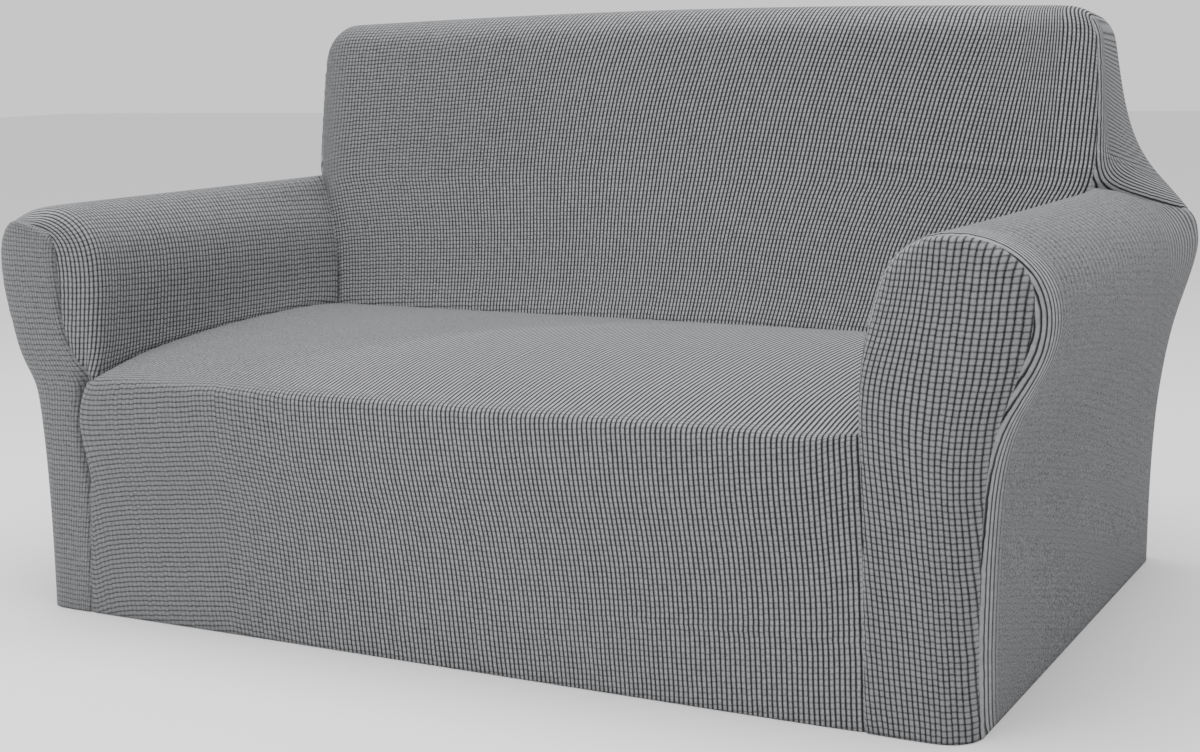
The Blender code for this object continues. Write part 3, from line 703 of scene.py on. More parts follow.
# Front seams, which sit elsewhere on the left arm than on the right ---
# Shift outwards by height, beside the apron and on the arm's inner side.
LEFT_HEIGHTS = (0.0, 0.237, 0.344, 0.384, 0.43, 0.476, 0.559, 0.593)
LEFT_SHIFTS = (0.037, 0.023, 0.024, 0.010, 0.048, 0.060, 0.061, 0.056)
# Shift outwards and down by distance from the middle, over the top of the roll.
LEFT_PLACES = (0.656, 0.668, 0.688, 0.714, 0.745, 0.787, 0.819, 0.845)
LEFT_OUTWARD = (0.056, 0.048, 0.039, 0.031, 0.023, 0.011, 0.003, 0.0)
LEFT_DOWN = (0.003, 0.009, 0.018, 0.023, 0.022, 0.014, 0.003, 0.0)
FLAT_SHIFT = 0.030          # shifted this far, the seam lies on the flat of the front
FLAT_TURN = 12              # and the edge's rounding starts at this angle
FLAT_SOFTER = 0.020         # and its radius is larger by this
APRON_SHIFT_FROM = 0.6      # the apron widens outside this share of its half width
RIGHT_END_LENGTH = 0.22     # the cushion's right end runs this gently back to its seam
# Shift of the right arm's front seam inwards and up, by height.
RIGHT_HEIGHTS = (0.0, 0.300, 0.372, 0.460, 0.580)
RIGHT_INWARD = (0.010, 0.015, 0.018, 0.021, 0.0)
RIGHT_UP = (0.0, 0.006, 0.013, 0.006, 0.0)
RIGHT_REACH = 0.090         # the cloth gives way over this distance from the seam
RIGHT_DEPTH = 0.150         # and over this distance behind the front


def left_seam(point):
    """Shift a point of the arm front's seam to its place on the left arm; x is positive."""
    point = point.copy()
    if point.z < LEFT_HEIGHTS[-1] and point.x < LEFT_PLACES[0]:
        out = float(np.interp(point.z, LEFT_HEIGHTS, LEFT_SHIFTS))
        down = 0.0
    elif point.z > NECK_HEIGHT:
        out = float(np.interp(point.x, LEFT_PLACES, LEFT_OUTWARD))
        down = float(np.interp(point.x, LEFT_PLACES, LEFT_DOWN))
    else:
        return point
    point.x += out
    point.z -= down
    point.y = blend(point.y, FRONT, min(hypot(out, down) / FLAT_SHIFT, 1))
    return point


def left_arm_point(row, step):
    """Point of the left arm, mirrored to the right."""
    if row == 0 and step > 0 or step > EDGE_RINGS:
        return arm_point(row, step)
    seam = arm_edge(row, 0)
    shifted = left_seam(seam)
    if step == 0:
        return shifted
    place = ARM_PLACES[row]
    x, z = arm_section("front", place)
    side = left_of(ARM_FRONT_CURVE, place)
    flat = min((shifted - seam).length / FLAT_SHIFT, 1)
    radius = arm_value("edge", place) + FLAT_SOFTER * flat
    start = blend(arm_value("seam_turn", place), FLAT_TURN, flat)
    return on_edge(x, z, side, radius, radians(blend(start, 90, step / EDGE_RINGS)), FRONT)


def left_arm_grain(row, step):
    """Place on the cloth of a corner of the left arm."""
    return arm_grain(row, step, left_arm_point)


def left_facing_point(row, column):
    """Point of the left arm's front, mirrored to the right."""
    point = facing_point(row, column)
    share = facing_share(column)
    inner = facing_point(row, 0)
    outer = facing_point(row, FACING_COLUMNS)
    if column == 0:
        return left_seam(inner)
    if column == FACING_COLUMNS:
        return left_seam(outer)
    inner_shift = left_seam(inner) - inner
    outer_shift = left_seam(outer) - outer
    point += inner_shift * (1 - share) + outer_shift * share
    held = min(inner_shift.length * (1 - share) / FLAT_SHIFT, 1)
    point.y = blend(point.y, min(point.y, FRONT), held)
    return point


def seat_point(row, column):
    """Point of the cloth that covers the seat and hangs down in front of it.

    Its left end rounds off to the seam, which sits further out, and its right end runs back
    to the seam gently.
    """
    share = column_share(column)
    border = seat_side(row)
    inside = SEAT_HALF * (1 - abs(share))
    hold = max(1 - inside / RIGHT_END_LENGTH, 0) ** 2
    if share < 0:
        hold = edge_depth(inside, CUSHION_END_ROUND) / CUSHION_END_ROUND
    behind, height = SEAT_LINE[row]
    if row > DECK_START:
        along = (row - DECK_START) / DECK_ROWS
        height += SEAT_CROWN * (1 - share ** 2) * sin(radians(180) * along)
    y = blend(FRONT + behind, border.y, hold)
    point = Vector((share * border.x, y, blend(height, border.z, hold)))
    if row <= APRON_ROWS and share < -APRON_SHIFT_FROM:
        weight = ((-share - APRON_SHIFT_FROM) / (1 - APRON_SHIFT_FROM)) ** 2
        shift = left_seam(border) - border
        point += Vector((-shift.x, shift.y, 0.0)) * weight
    return point


def add_patch(net, panel, rows, columns, place, grain, mirrored=False):
    """Add a grid of quads on the cloth, with the cloth's own coordinates as its UV map."""
    made = bmesh.ops.create_grid(net, x_segments=columns, y_segments=rows, size=0.5)
    spots = {}
    for vertex in made["verts"]:
        column = round((vertex.co.x + 0.5) * columns)
        row = round((vertex.co.y + 0.5) * rows)
        vertex.co = place(row, column)
        if mirrored:
            vertex.co.x = -vertex.co.x
        spots[vertex] = grain(row, column)
    layer = net.loops.layers.uv[GRAIN]
    for face in {face for vertex in made["verts"] for face in vertex.link_faces}:
        face.material_index = panel
        for loop in face.loops:
            loop[layer].uv = spots[loop.vert]


def move_right_seam(net):
    """Pull the right arm's front seam in and up beside the cushion, with the cloth around it."""
    for vertex in net.verts:
        x, y, z = vertex.co
        beside = soft_step(RIGHT_REACH - abs(x - SEAT_HALF), 0.0, RIGHT_REACH)
        near = beside * (1 - soft_step(y, FRONT, RIGHT_DEPTH))
        vertex.co.x -= near * float(np.interp(z, RIGHT_HEIGHTS, RIGHT_INWARD))
        vertex.co.z += near * float(np.interp(z, RIGHT_HEIGHTS, RIGHT_UP))


def build_net():
    """The outside of the whole cover, with its seams creased."""
    net = bmesh.new()
    net.loops.layers.uv.new(GRAIN)
    add_patch(net, SEAT_FRONT, DECK_START + DECK_ROWS, COLUMNS, seat_point, seat_grain)
    add_patch(net, INSIDE_BACK, BACK_ROWS, COLUMNS, back_point, back_grain)
    add_patch(net, OUTSIDE_BACK, REAR_ROWS, COLUMNS, rear_point, rear_grain)
    right = (ARM_RIGHT, FACING_RIGHT, arm_point, arm_grain, facing_point)
    left = (ARM_LEFT, FACING_LEFT, left_arm_point, left_arm_grain, left_facing_point)
    for arm, facing, place, grain, facing_place in (right, left):
        mirrored = arm == ARM_LEFT
        add_patch(net, OUTSIDE_BACK, STRIP_ROWS, SIDE_REAR_STEPS,
                  strip_point, strip_grain, mirrored)
        add_patch(net, arm, INNER_ROWS, FRONT_STEPS, place, grain, mirrored)
        add_patch(net, arm, OUTER_ROWS, ARM_STEPS,
                  lambda row, step: place(INNER_ROWS + row, step),
                  lambda row, step: grain(INNER_ROWS + row, step), mirrored)
        add_patch(net, facing, OUTER_ROWS, FACING_COLUMNS, facing_place, facing_grain, mirrored)
    bmesh.ops.remove_doubles(net, verts=net.verts, dist=MERGE)
    move_right_seam(net)
    bmesh.ops.recalc_face_normals(net, faces=net.faces)
    rear = max(net.faces, key=lambda face: face.calc_center_median().y)
    if rear.normal.y < 0:
        bmesh.ops.reverse_faces(net, faces=net.faces)
    crease = net.edges.layers.float.new("crease_edge")
    for edge in net.edges:
        if len({face.material_index for face in edge.link_faces}) > 1:
            edge[crease] = 1.0
    return net


def smooth_net(net, levels):
    """Mesh of the net, subdivided."""
    mesh = bpy.data.meshes.new("net")
    net.to_mesh(mesh)
    net.free()
    holder = add_object("net", mesh)
    modifier = holder.modifiers.new("smooth", "SUBSURF")
    modifier.levels = levels
    modifier.render_levels = levels
    graph = bpy.context.evaluated_depsgraph_get()
    fine = bpy.data.meshes.new_from_object(holder.evaluated_get(graph))
    bpy.data.objects.remove(holder)
    bpy.data.meshes.remove(mesh)
    return fine


# Relief: seams, fold lines, the cushion's ends ---
SMOOTH_LEVELS = 3
SEAM_WIDTH = 0.0040         # how far a seam's trough reaches
PUCKER_REACH = 0.020        # how far the puckers beside a seam reach
PUCKER_END = 2.5            # past this many times that reach there are none
PUCKER_HEIGHT = 0.0006
PUCKER_LENGTHS = (0.031, 0.019)     # two overlaid waves along the seam
DEFAULT_SEAM_DEPTH = 0.0014
SEAM_DEPTHS = (
    ({SEAT_FRONT, FACING_LEFT}, 0.0016),
    ({SEAT_FRONT, FACING_RIGHT}, 0.0018),
    ({ARM_LEFT, FACING_LEFT}, 0.0022),
    ({ARM_RIGHT, FACING_RIGHT}, 0.0012),
    ({OUTSIDE_BACK, ARM_LEFT}, 0.0055),
    ({OUTSIDE_BACK, ARM_RIGHT}, 0.0055),
    ({INSIDE_BACK, OUTSIDE_BACK}, 0.0022),
    ({SEAT_FRONT, INSIDE_BACK}, 0.0020),
    ({SEAT_FRONT, ARM_LEFT}, 0.0030),
    ({SEAT_FRONT, ARM_RIGHT}, 0.0),
    ({INSIDE_BACK, ARM_LEFT}, 0.0030),
    ({INSIDE_BACK, ARM_RIGHT}, 0.0),
)

CREASE_TOP = 0.600          # the crease between the left arm and the back ends at this height
CREASE_FADE = 0.100         # and fades out over this length

# Soft lines left by folding the cover for its bag: a panel, the axis across the line, where it
# runs, its half width, its height and the X from which it shows.
FoldLine = namedtuple("FoldLine", "panel axis place width rise start")
FOLD_LINES = (
    FoldLine(INSIDE_BACK, 2, 0.690, 0.006, 0.0013, 0.20),
    FoldLine(SEAT_FRONT, 2, 0.118, 0.005, 0.0016, 0.10),
    FoldLine(FACING_RIGHT, 2, 0.112, 0.006, 0.0012, 0.10),
    FoldLine(SEAT_FRONT, 0, 0.010, 0.006, 0.0005, -1.0),
    FoldLine(INSIDE_BACK, 0, 0.010, 0.006, 0.0005, -1.0),
)
FOLD_FADE = 0.25            # length over which a fold line fades in
FOLD_WANDER = 0.004         # how far it strays, in waves along X and Z that differ by line
FOLD_WAVES = (9.0, 7.0, 40.0)

BULGE = 0.011               # the cushion's left end swells this far sideways over the seam
BULGE_START = 0.004         # it grows over this distance from the seam
BULGE_MIDDLE = 0.322        # height of the swelling's middle
BULGE_HEIGHT = 0.070        # half its height
BULGE_FROM_SEAM = 0.014     # it is fullest this far inside the seam
BULGE_WIDTH = 0.014
BULGE_DEPTH = 0.030         # none of it this far behind the arm fronts
GAP_DEPTH = 0.030           # beside the left end the arm's front sinks in by this
GAP_INSIDE = 0.006          # over this length under the cushion's end
GAP_OUTSIDE = 0.011         # and over this length beyond it


def read(items, name, width, kind=np.float64):
    """One property of a mesh's vertices, faces or corners as an array."""
    values = np.empty(len(items) * width, kind)
    items.foreach_get(name, values)
    return values.reshape(-1, width) if width > 1 else values


def seam_lines(corners, owner, vertex_panels):
    """The vertices on seams, as a dictionary from vertex to the panels that meet there."""
    meeting = {}
    for corner in np.nonzero(vertex_panels[corners] != owner)[0]:
        vertex = int(corners[corner])
        meeting.setdefault(vertex, {int(vertex_panels[vertex])}).add(int(owner[corner]))
    return meeting


def press_seams(places, meeting):
    """Height of the seams' troughs and puckers at each vertex."""
    tree = KDTree(len(meeting))
    depths = {}
    for vertex, panels in meeting.items():
        tree.insert(places[vertex], vertex)
        pairs = [depth for pair, depth in SEAM_DEPTHS if pair <= panels]
        depths[vertex] = min(pairs) if pairs else DEFAULT_SEAM_DEPTH
        if places[vertex][1] > REAR - BACK_CORNER_RADIUS:
            depths[vertex] = min(depths[vertex], DEFAULT_SEAM_DEPTH)
        if {INSIDE_BACK, ARM_LEFT} <= panels:
            depths[vertex] *= min(max((CREASE_TOP - places[vertex][2]) / CREASE_FADE, 0), 1)
    tree.balance()
    rise = np.zeros(len(places))
    for vertex, place in enumerate(places):
        spot, seam, away = tree.find(place)
        if away > PUCKER_END * PUCKER_REACH:
            continue
        depth = depths[seam]
        along = spot.x + spot.y + spot.z
        wave = sum(sin(2 * pi * along / length) for length in PUCKER_LENGTHS) / 2
        trough = depth * np.exp(-(away / SEAM_WIDTH) ** 2)
        fade = np.exp(-(away / PUCKER_REACH) ** 2) * min(depth / DEFAULT_SEAM_DEPTH, 1)
        rise[vertex] = -trough + PUCKER_HEIGHT * wave * fade
    return rise


def press_folds(places, vertex_panels):
    """Height of the fold lines at each vertex."""
    rise = np.zeros(len(places))
    x, y, z = places.T
    for line in FOLD_LINES:
        wander = FOLD_WANDER * np.sin(np.dot(FOLD_WAVES, (x, z, line.place + 0 * x)))
        bend = hump(places[:, line.axis] + wander, line.place, line.width)
        bend *= soft_step(x, line.start, FOLD_FADE)
        rise += np.where(vertex_panels == line.panel, line.rise * bend, 0.0)
    return rise


def swell_cushion(places, vertex_panels):
    """Push the cushion's left end outwards and sink the arm's front in beside it."""
    x, y, z = places.T
    inside = SEAT_HALF + LEFT_SHIFTS[1] - np.abs(x)
    level = hump(z, BULGE_MIDDLE, BULGE_HEIGHT) * ((x < 0) & (y < FRONT + BULGE_DEPTH))
    push = hump(inside, BULGE_FROM_SEAM, BULGE_WIDTH) * np.clip(inside / BULGE_START, 0, 1)
    sink = hump(inside, 0.0, np.where(inside > 0, GAP_INSIDE, GAP_OUTSIDE))
    places[:, 0] -= BULGE * push * level * (vertex_panels == SEAT_FRONT)
    places[:, 1] += GAP_DEPTH * sink * level


LEFT_CORNER = (-0.635, 0.851)       # middle of the back's rounder top left corner
LEFT_CORNER_RADIUS = 0.100
LEFT_CORNER_FROM = 0.20     # the back lies behind this Y


def round_corner(places):
    """Pull the back's top left corner in to its larger radius."""
    x = LEFT_CORNER[0] - places[:, 0]
    z = places[:, 2] - LEFT_CORNER[1]
    reach = np.hypot(x, z)
    beyond = (x > 0) & (z > 0) & (places[:, 1] > LEFT_CORNER_FROM) & (reach > LEFT_CORNER_RADIUS)
    pull = np.where(beyond, LEFT_CORNER_RADIUS / np.maximum(reach, MERGE), 1.0)
    places[:, 0] = LEFT_CORNER[0] - x * pull
    places[:, 2] = LEFT_CORNER[1] + z * pull


def shape_cloth(mesh):
    """Press seams and folds into the smooth mesh."""
    places = read(mesh.vertices, "co", 3)
    normals = read(mesh.vertices, "normal", 3)
    panels = read(mesh.polygons, "material_index", 1, np.int32)
    starts = read(mesh.polygons, "loop_start", 1, np.int32)
    corners = read(mesh.loops, "vertex_index", 1, np.int32)
    owner = np.repeat(panels, np.diff(np.append(starts, len(corners))))
    vertex_panels = np.zeros(len(places), np.int32)
    vertex_panels[corners] = owner
    rise = press_seams(places, seam_lines(corners, owner, vertex_panels))
    rise += press_folds(places, vertex_panels)
    hem = places[:, 2] < MERGE
    normals[hem, 2] = 0.0
    places += normals * rise[:, None]
    swell_cushion(places, vertex_panels)
    round_corner(places)
    mesh.vertices.foreach_set("co", places.ravel())
    mesh.update()


# Grain: how the weave runs over each panel ---
Step = namedtuple("Step", "start length")      # a soft step from 0 to 1
UPRIGHT = Step(0.30, 0.25)  # over this stretch of X the ribs come to stand at their own X
APRON_SLANT = 0.10          # on the apron the ribs lean to the right going down
APRON_RIGHT = Step(0.10, 0.30)      # over this stretch the lean shrinks to a share of it
APRON_RIGHT_SHARE = 0.5
WAVES = (                   # slow waves of the ribs: across, up, phase and size
    (5.1, 7.0, 0.4, 0.0022),
    (2.3, 13.0, 1.9, 0.0016),
    (9.7, 4.0, 3.1, 0.0012),
)
ROW_WAVE_PHASE = 2.0        # the rows' waves are shifted against the ribs'
ROW_WAVE_SHARE = 0.6        # and smaller
PINCH = 0.007               # the back's ribs are drawn together this far towards its sides
PINCH_REACH = 0.030
# Lean of the back's ribs to the right, for each metre up, by place across.
BACK_PLACES = (-0.65, -0.48, -0.316, 0.01, 0.284, 0.556, 0.62, 0.68)
BACK_LEAN = (0.10, 0.15, 0.21, 0.28, 0.31, 0.335, 0.27, 0.10)
LEAN_FOOT = 0.53            # the lean is a part of that at this height and grows upwards
LEAN_FOOT_SHARE = 0.05
LEAN_GROWTH = 1.5
# Drift of the rows by place across: on the back, and on the seat and apron.
BACK_ROW_PLACES = (-0.70, 0.15, 0.70)
BACK_ROW_DRIFT = (0.042, 0.0, 0.022)
BACK_ROW_FROM = 0.45        # rows stand closer above this height than below
BACK_ROW_MORE = 0.12
SEAT_ROW_PLACES = (-0.684, -0.40, -0.25, 0.10, 0.65)
SEAT_ROW_DRIFT = (0.0, -0.026, -0.016, -0.028, -0.075)
SAG = 0.016                 # the apron's rows sag this much towards its left seam
SAG_REACH = 0.030
SAG_TOP = Step(0.24, 0.08)  # up to this height
BACK_SAG = 0.022            # and the back's rows towards the left arm
BACK_SAG_REACH = 0.060
BACK_SAG_TOP = Step(0.66, 0.16)


def slow_waves(places, phase):
    """Uneven drift of the ribs."""
    x, y, z = places.T
    drift = np.zeros(len(places))
    for across, up, start, size in WAVES:
        drift += size * np.sin(across * (x + y) + up * z + start + phase)
    return drift


def lay_grain(panel, places, grain):
    """Slant, bend and pinch a panel's weave; the arrays hold one row for each corner."""
    x, y, z = places.T
    ribs, rows = grain.T
    if panel == SEAT_FRONT:
        ribs += (x - ribs) * soft_step(x, *UPRIGHT)
        low = np.clip(SEAT_CORNER_HEIGHT - z, 0, None)
        ribs -= APRON_SLANT * low * blend(1, APRON_RIGHT_SHARE, soft_step(x, *APRON_RIGHT))
        rows += np.interp(x, SEAT_ROW_PLACES, SEAT_ROW_DRIFT)
        beside = np.clip(SEAT_HALF + LEFT_SHIFTS[1] + x, 0, None)
        rows += SAG * np.exp(-beside / SAG_REACH) * (1 - soft_step(z, *SAG_TOP))
    if panel == INSIDE_BACK:
        inside = np.clip(BACK_HALF - np.abs(x), 0, None)
        up = z - LEAN_FOOT
        lean = LEAN_FOOT_SHARE * up + LEAN_GROWTH * np.clip(up, 0, None) ** 2
        ribs -= np.interp(x, BACK_PLACES, BACK_LEAN) * lean
        ribs += np.sign(x) * PINCH * np.exp(-inside / PINCH_REACH)
        rows += np.interp(x, BACK_ROW_PLACES, BACK_ROW_DRIFT)
        rows += BACK_ROW_MORE * np.clip(z - BACK_ROW_FROM, 0, None)
        beside = np.clip(BACK_HALF + x, 0, None)
        rows += BACK_SAG * np.exp(-beside / BACK_SAG_REACH) * (1 - soft_step(z, *BACK_SAG_TOP))
    ribs += slow_waves(places, panel)
    rows += slow_waves(places[:, ::-1], panel + ROW_WAVE_PHASE) * ROW_WAVE_SHARE


# Strength of ribs and rows, of fuzz, of narrower grooves between ribs, and of ripples.
Weave = namedtuple("Weave", "ribs rows fuzz narrow ripples")
APRON = Weave(1.0, 1.0, 0.25, 0.4, 0.0)         # ribs and rows are times SEAT_RIBS, SEAT_ROWS
DECK = Weave(2.2, 0.4, 0.45, 0.0, 0.0)          # the same
BACK = Weave(1.0, 0.85, 0.25, 0.0, 0.0)         # ribs are times BACK_RIBS
ARM_INSIDE = Weave(0.72, 0.70, 0.20, 0.0, 0.0)
ARM_INSIDE_REAR = Weave(0.52, 0.82, 0.20, 0.0, 0.0)
ARM_FRONT_EDGE = Weave(1.40, 0.10, 0.20, 1.0, 0.0)
FLANK = Weave(0.0, 0.10, 0.75, 0.0, 0.0)        # ribs and ripples are added by height
SHOULDER = Weave(0.0, 0.10, 0.42, 0.0, 0.65)    # the same
REAR_FACE = Weave(0.45, 0.65, 0.30, 0.0, 0.0)
STRIP = Weave(0.18, 1.05, 0.30, 0.0, 0.0)
STRIP_EDGE = Weave(1.20, 0.05, 0.30, 0.6, 0.0)
FRONT_LEFT = Weave(0.26, 0.45, 0.30, 0.5, 0.0)
FRONT_RIGHT = Weave(1.0, 0.78, 0.20, 1.0, 0.0)  # ribs are times FRONT_RIBS

# Values that run softly from one to another over a length.
Ramp = namedtuple("Ramp", "low high start length")
SEAT_RIBS = Ramp(0.14, 1.04, -0.52, 0.45)       # by X
SEAT_ROWS = Ramp(0.66, 0.73, -0.55, 0.40)
SMOOTH_DECK = Ramp(-0.48, 0.04, -0.50, 0.75)    # Y from which the deck looks smooth, by X
BACK_RIBS = Ramp(0.52, 1.24, -0.62, 0.55)
BACK_RIGHT_RIBS = Ramp(1.0, 1.25, 0.58, 0.06)   # times those
BACK_LEFT_FADE = Ramp(0.01, 0.09, 0.55, 0.10)   # length of the fade on the left, by height
FLANK_RIBS = Ramp(0.04, 0.14, 0.58, 0.05)       # by height
FLANK_RIPPLES = Ramp(0.0, 0.35, 0.54, 0.06)
FRONT_RIBS = Ramp(0.80, 0.65, FACING_WIDE_FROM, 0.05)

# Soft steps from one part of a panel to the next.
SMOOTH_FADE = 0.20          # length over which the deck's weave fades
DECK_EDGE = Step(FRONT, 0.02)               # Y, from the apron to the deck
INSIDE_LENGTH = Step(-0.30, 0.50)           # Y, along the inner side of an arm
ROLL_SIDE = Step(0.69, 0.09)                # distance from the middle, over an arm's roll
ROLL_HEIGHT = Step(0.40, 0.15)              # that counts above this height
OUTER_SIDE = Step(0.74, 0.03)               # and this at every height
EDGE_STRIP = Step(FRONT + 0.060, 0.060)     # Y, where an arm's strong front ribs end
SHOULDER_DEPTH = Step(0.20, 0.15)           # Y
SHOULDER_HEIGHT = Step(0.46, 0.10)
REAR_EDGE = Step(0.0, 0.03)                 # distance in front of the rear face
SEAM_LINES = Step(0.012, 0.030)             # distance behind the strip's seam
CREASE_LINES = Step(0.035, 0.030)           # height over the strip's foot
STRIP_LOW = 0.10            # the strip's foot falls by less than this


def ramp(values, item):
    """The value of a ramp at each of the values."""
    return blend(item.low, item.high, soft_step(values, item.start, item.length))


def mixed(weave, other, share):
    """Strengths between those of two weaves."""
    return Weave(*(blend(a, b, share) for a, b in zip(weave, other)))


def strip_strength(places):
    """How near the back's side seam or the crease on the arm a place is, from 0 to 1."""
    x, y, z = places.T
    seam = np.array([strip_point(row, 0) for row in range(STRIP_ROWS + 1)])
    foot = np.array([strip_point(0, step) for step in range(SIDE_REAR_STEPS + 1)])
    beside = y - np.interp(z, seam[:, 2], seam[:, 1])
    above = z - np.interp(y, foot[:, 1], foot[:, 2])
    near = 1 - np.minimum(soft_step(beside, *SEAM_LINES), soft_step(above, *CREASE_LINES))
    near *= soft_step(REAR - y, *REAR_EDGE)
    return np.where(z > seam[0, 2] - STRIP_LOW, near, 0.0)


def arm_weave(places):
    """Strengths on an arm: clear inside and along its front edge, pulled smooth outside."""
    x, y, z = places.T
    outside = soft_step(np.abs(x), *ROLL_SIDE) * soft_step(z, *ROLL_HEIGHT)
    outside = np.maximum(outside, soft_step(np.abs(x), *OUTER_SIDE))
    inner = mixed(ARM_INSIDE, ARM_INSIDE_REAR, soft_step(y, *INSIDE_LENGTH))
    shoulder = soft_step(y, *SHOULDER_DEPTH) * soft_step(z, *SHOULDER_HEIGHT)
    bare = mixed(FLANK, SHOULDER, shoulder)
    ripples = bare.ripples + ramp(z, FLANK_RIPPLES)
    bare = bare._replace(ribs=ramp(z, FLANK_RIBS), ripples=ripples)
    outer = mixed(ARM_FRONT_EDGE, bare, soft_step(y, *EDGE_STRIP))
    return mixed(inner, outer, outside)


def weave_strength(panel, places):
    """The weave's strengths at each place of a panel."""
    x, y, z = places.T
    if panel == SEAT_FRONT:
        deck = 1 - soft_step(y, ramp(x, SMOOTH_DECK), SMOOTH_FADE)
        weave = mixed(APRON, DECK, soft_step(y, *DECK_EDGE))
        ribs = weave.ribs * ramp(x, SEAT_RIBS) * deck
        return weave._replace(ribs=ribs, rows=weave.rows * ramp(x, SEAT_ROWS) * deck)
    if panel == INSIDE_BACK:
        left_edge = soft_step(x, -BACK_HALF, ramp(z, BACK_LEFT_FADE))
        ribs = ramp(x, BACK_RIBS) * left_edge * ramp(x, BACK_RIGHT_RIBS)
        return BACK._replace(ribs=ribs, rows=BACK.rows * left_edge)
    if panel in (ARM_LEFT, ARM_RIGHT):
        return arm_weave(places)
    if panel == OUTSIDE_BACK:
        away = mixed(REAR_FACE, STRIP, soft_step(REAR - y, *REAR_EDGE))
        return mixed(away, STRIP_EDGE, strip_strength(places))
    if panel == FACING_LEFT:
        return FRONT_LEFT
    return FRONT_RIGHT._replace(ribs=ramp(x, FRONT_RIBS))


# Panels ---
HEM_DEPTH = 0.022           # cloth turned up inside the hem


def turn_hem(panel):
    """Fold the hem inwards and up, behind the cloth."""
    edges = [e for e in panel.edges if e.is_boundary and max(v.co.z for v in e.verts) < MERGE]
    normals = {v: v.normal.copy() for e in edges for v in e.verts}
    made = bmesh.ops.extrude_edge_only(panel, edges=edges)
    inner = [item for item in made["geom"] if isinstance(item, bmesh.types.BMVert)]
    sources = list(normals)
    tree = KDTree(len(sources))
    for index, vertex in enumerate(sources):
        tree.insert(vertex.co, index)
    tree.balance()
    ways = [normals[sources[tree.find(v.co)[1]]] for v in inner]
    for vertex, way in zip(inner, ways):
        vertex.co -= Vector((way.x, way.y, 0)).normalized() * CLOTH
    rims = [item for item in made["geom"] if isinstance(item, bmesh.types.BMEdge)]
    made = bmesh.ops.extrude_edge_only(panel, edges=rims)
    for item in made["geom"]:
        if isinstance(item, bmesh.types.BMVert):
            item.co.z += HEM_DEPTH


def cut_panel(fine, number, material):
    """Cut one panel out of the shaped mesh and finish it as a piece."""
    panel = bmesh.new()
    panel.from_mesh(fine)
    others = [face for face in panel.faces if face.material_index != number]
    bmesh.ops.delete(panel, geom=others, context="FACES")
    panel.normal_update()
    turn_hem(panel)
    for face in panel.faces:
        face.material_index = 0
        face.smooth = True
    mesh = bpy.data.meshes.new(PANELS[number] + "_cloth")
    panel.to_mesh(mesh)
    panel.free()
    places = read(mesh.vertices, "co", 3)
    corners = read(mesh.loops, "vertex_index", 1, np.int32)
    grain = read(mesh.uv_layers[GRAIN].data, "uv", 2)
    lay_grain(number, places[corners], grain)
    mesh.uv_layers[GRAIN].data.foreach_set("uv", grain.ravel())
    for name, strength in weave_strength(number, places)._asdict().items():
        values = np.full(len(places), strength, np.float64)
        mesh.attributes.new(name, "FLOAT", "POINT").data.foreach_set("value", values)
    mesh.materials.append(material)
    piece = add_object(PANELS[number] + "_cloth", mesh)
    area = sum(face.area for face in mesh.polygons)
    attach(piece, "root")
    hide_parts(PANELS[number])


# Cloth's finish ---
RIB_PITCH = 0.0074          # one waffle across
ROW_PITCH = 0.0079          # one waffle along
RIB_POWER = 2.0             # higher is a narrower groove
ROW_POWER = 4.0
RIB_NARROWER = 1.5          # added to the power where grooves are narrow
RIB_MEAN = 0.375            # mean of the grooves of each power
RIB_MEAN_NARROWER = 0.084   # taken off it where grooves are narrow
ROW_MEAN = 0.273
RIB_DEPTH = 1.08
ROW_DEPTH = 0.62
CROSSING = 0.74             # share of the depth that is given back where two grooves cross
LEVEL = 0.43                # the cloth's mean tone between the two colours
BARE_SHADE = 0.05           # it is a little darker where the ribs are pulled smooth
WANDER = 0.0026             # how far ribs and rows stray
WANDER_SCALE = 14.0
ROW_WANDER_SCALE = 23.8
BRICK = 0.16                # share of a row by which it jumps from rib to rib
CELL_UNEVEN = 0.12
YARN_SCALE = 900.0
YARN_DEPTH = 0.16
FUZZ_SCALE = 380.0
FUZZ_DEPTH = 1.9
FINE_DETAIL = 1.0           # yarn and fuzz are plainer noise than the rest
RIPPLE_PITCH = 0.020        # small ripples over the shoulder of an arm
RIPPLE_DEPTH = 0.80
RIPPLE_STRAY = 5.0          # they stray this many times as far as the ribs
RELIEF = 0.0015             # depth of the waffle
# Painted shade: the near-black colour of the grooves stands for the shadow in them.
PAINTED_GROOVE_SHADE = (0.0085, 0.0088, 0.0092, 1.0)
CLOTH_COLOUR = (0.273, 0.278, 0.290, 1.0)
CLOUD_SCALE = 5.0           # slow changes of tone
CLOUD_DEPTH = 0.05
FINISH = {
    "Roughness": 0.92,
    "Specular IOR Level": 0.19,
    "Sheen Weight": 0.09,
    "Sheen Roughness": 0.6,
}


def work(tree, operation, first, *others):
    """Math nodes that take the others one after another; each is a number or a socket."""
    for other in others or (0.0,):
        node = tree.nodes.new("ShaderNodeMath")
        node.operation = operation
        for socket, value in zip(node.inputs, (first, other)):
            if isinstance(value, (int, float)):
                socket.default_value = value
            else:
                tree.links.new(value, socket)
        first = node.outputs[0]
    return first


def noise(tree, place, scale, size, detail=2.0):
    """Noise around 0; size is its range."""
    node = tree.nodes.new("ShaderNodeTexNoise")
    node.inputs["Scale"].default_value = scale
    node.inputs["Detail"].default_value = detail
    tree.links.new(place, node.inputs["Vector"])
    return work(tree, "MULTIPLY", work(tree, "SUBTRACT", node.outputs["Fac"], 0.5), size)


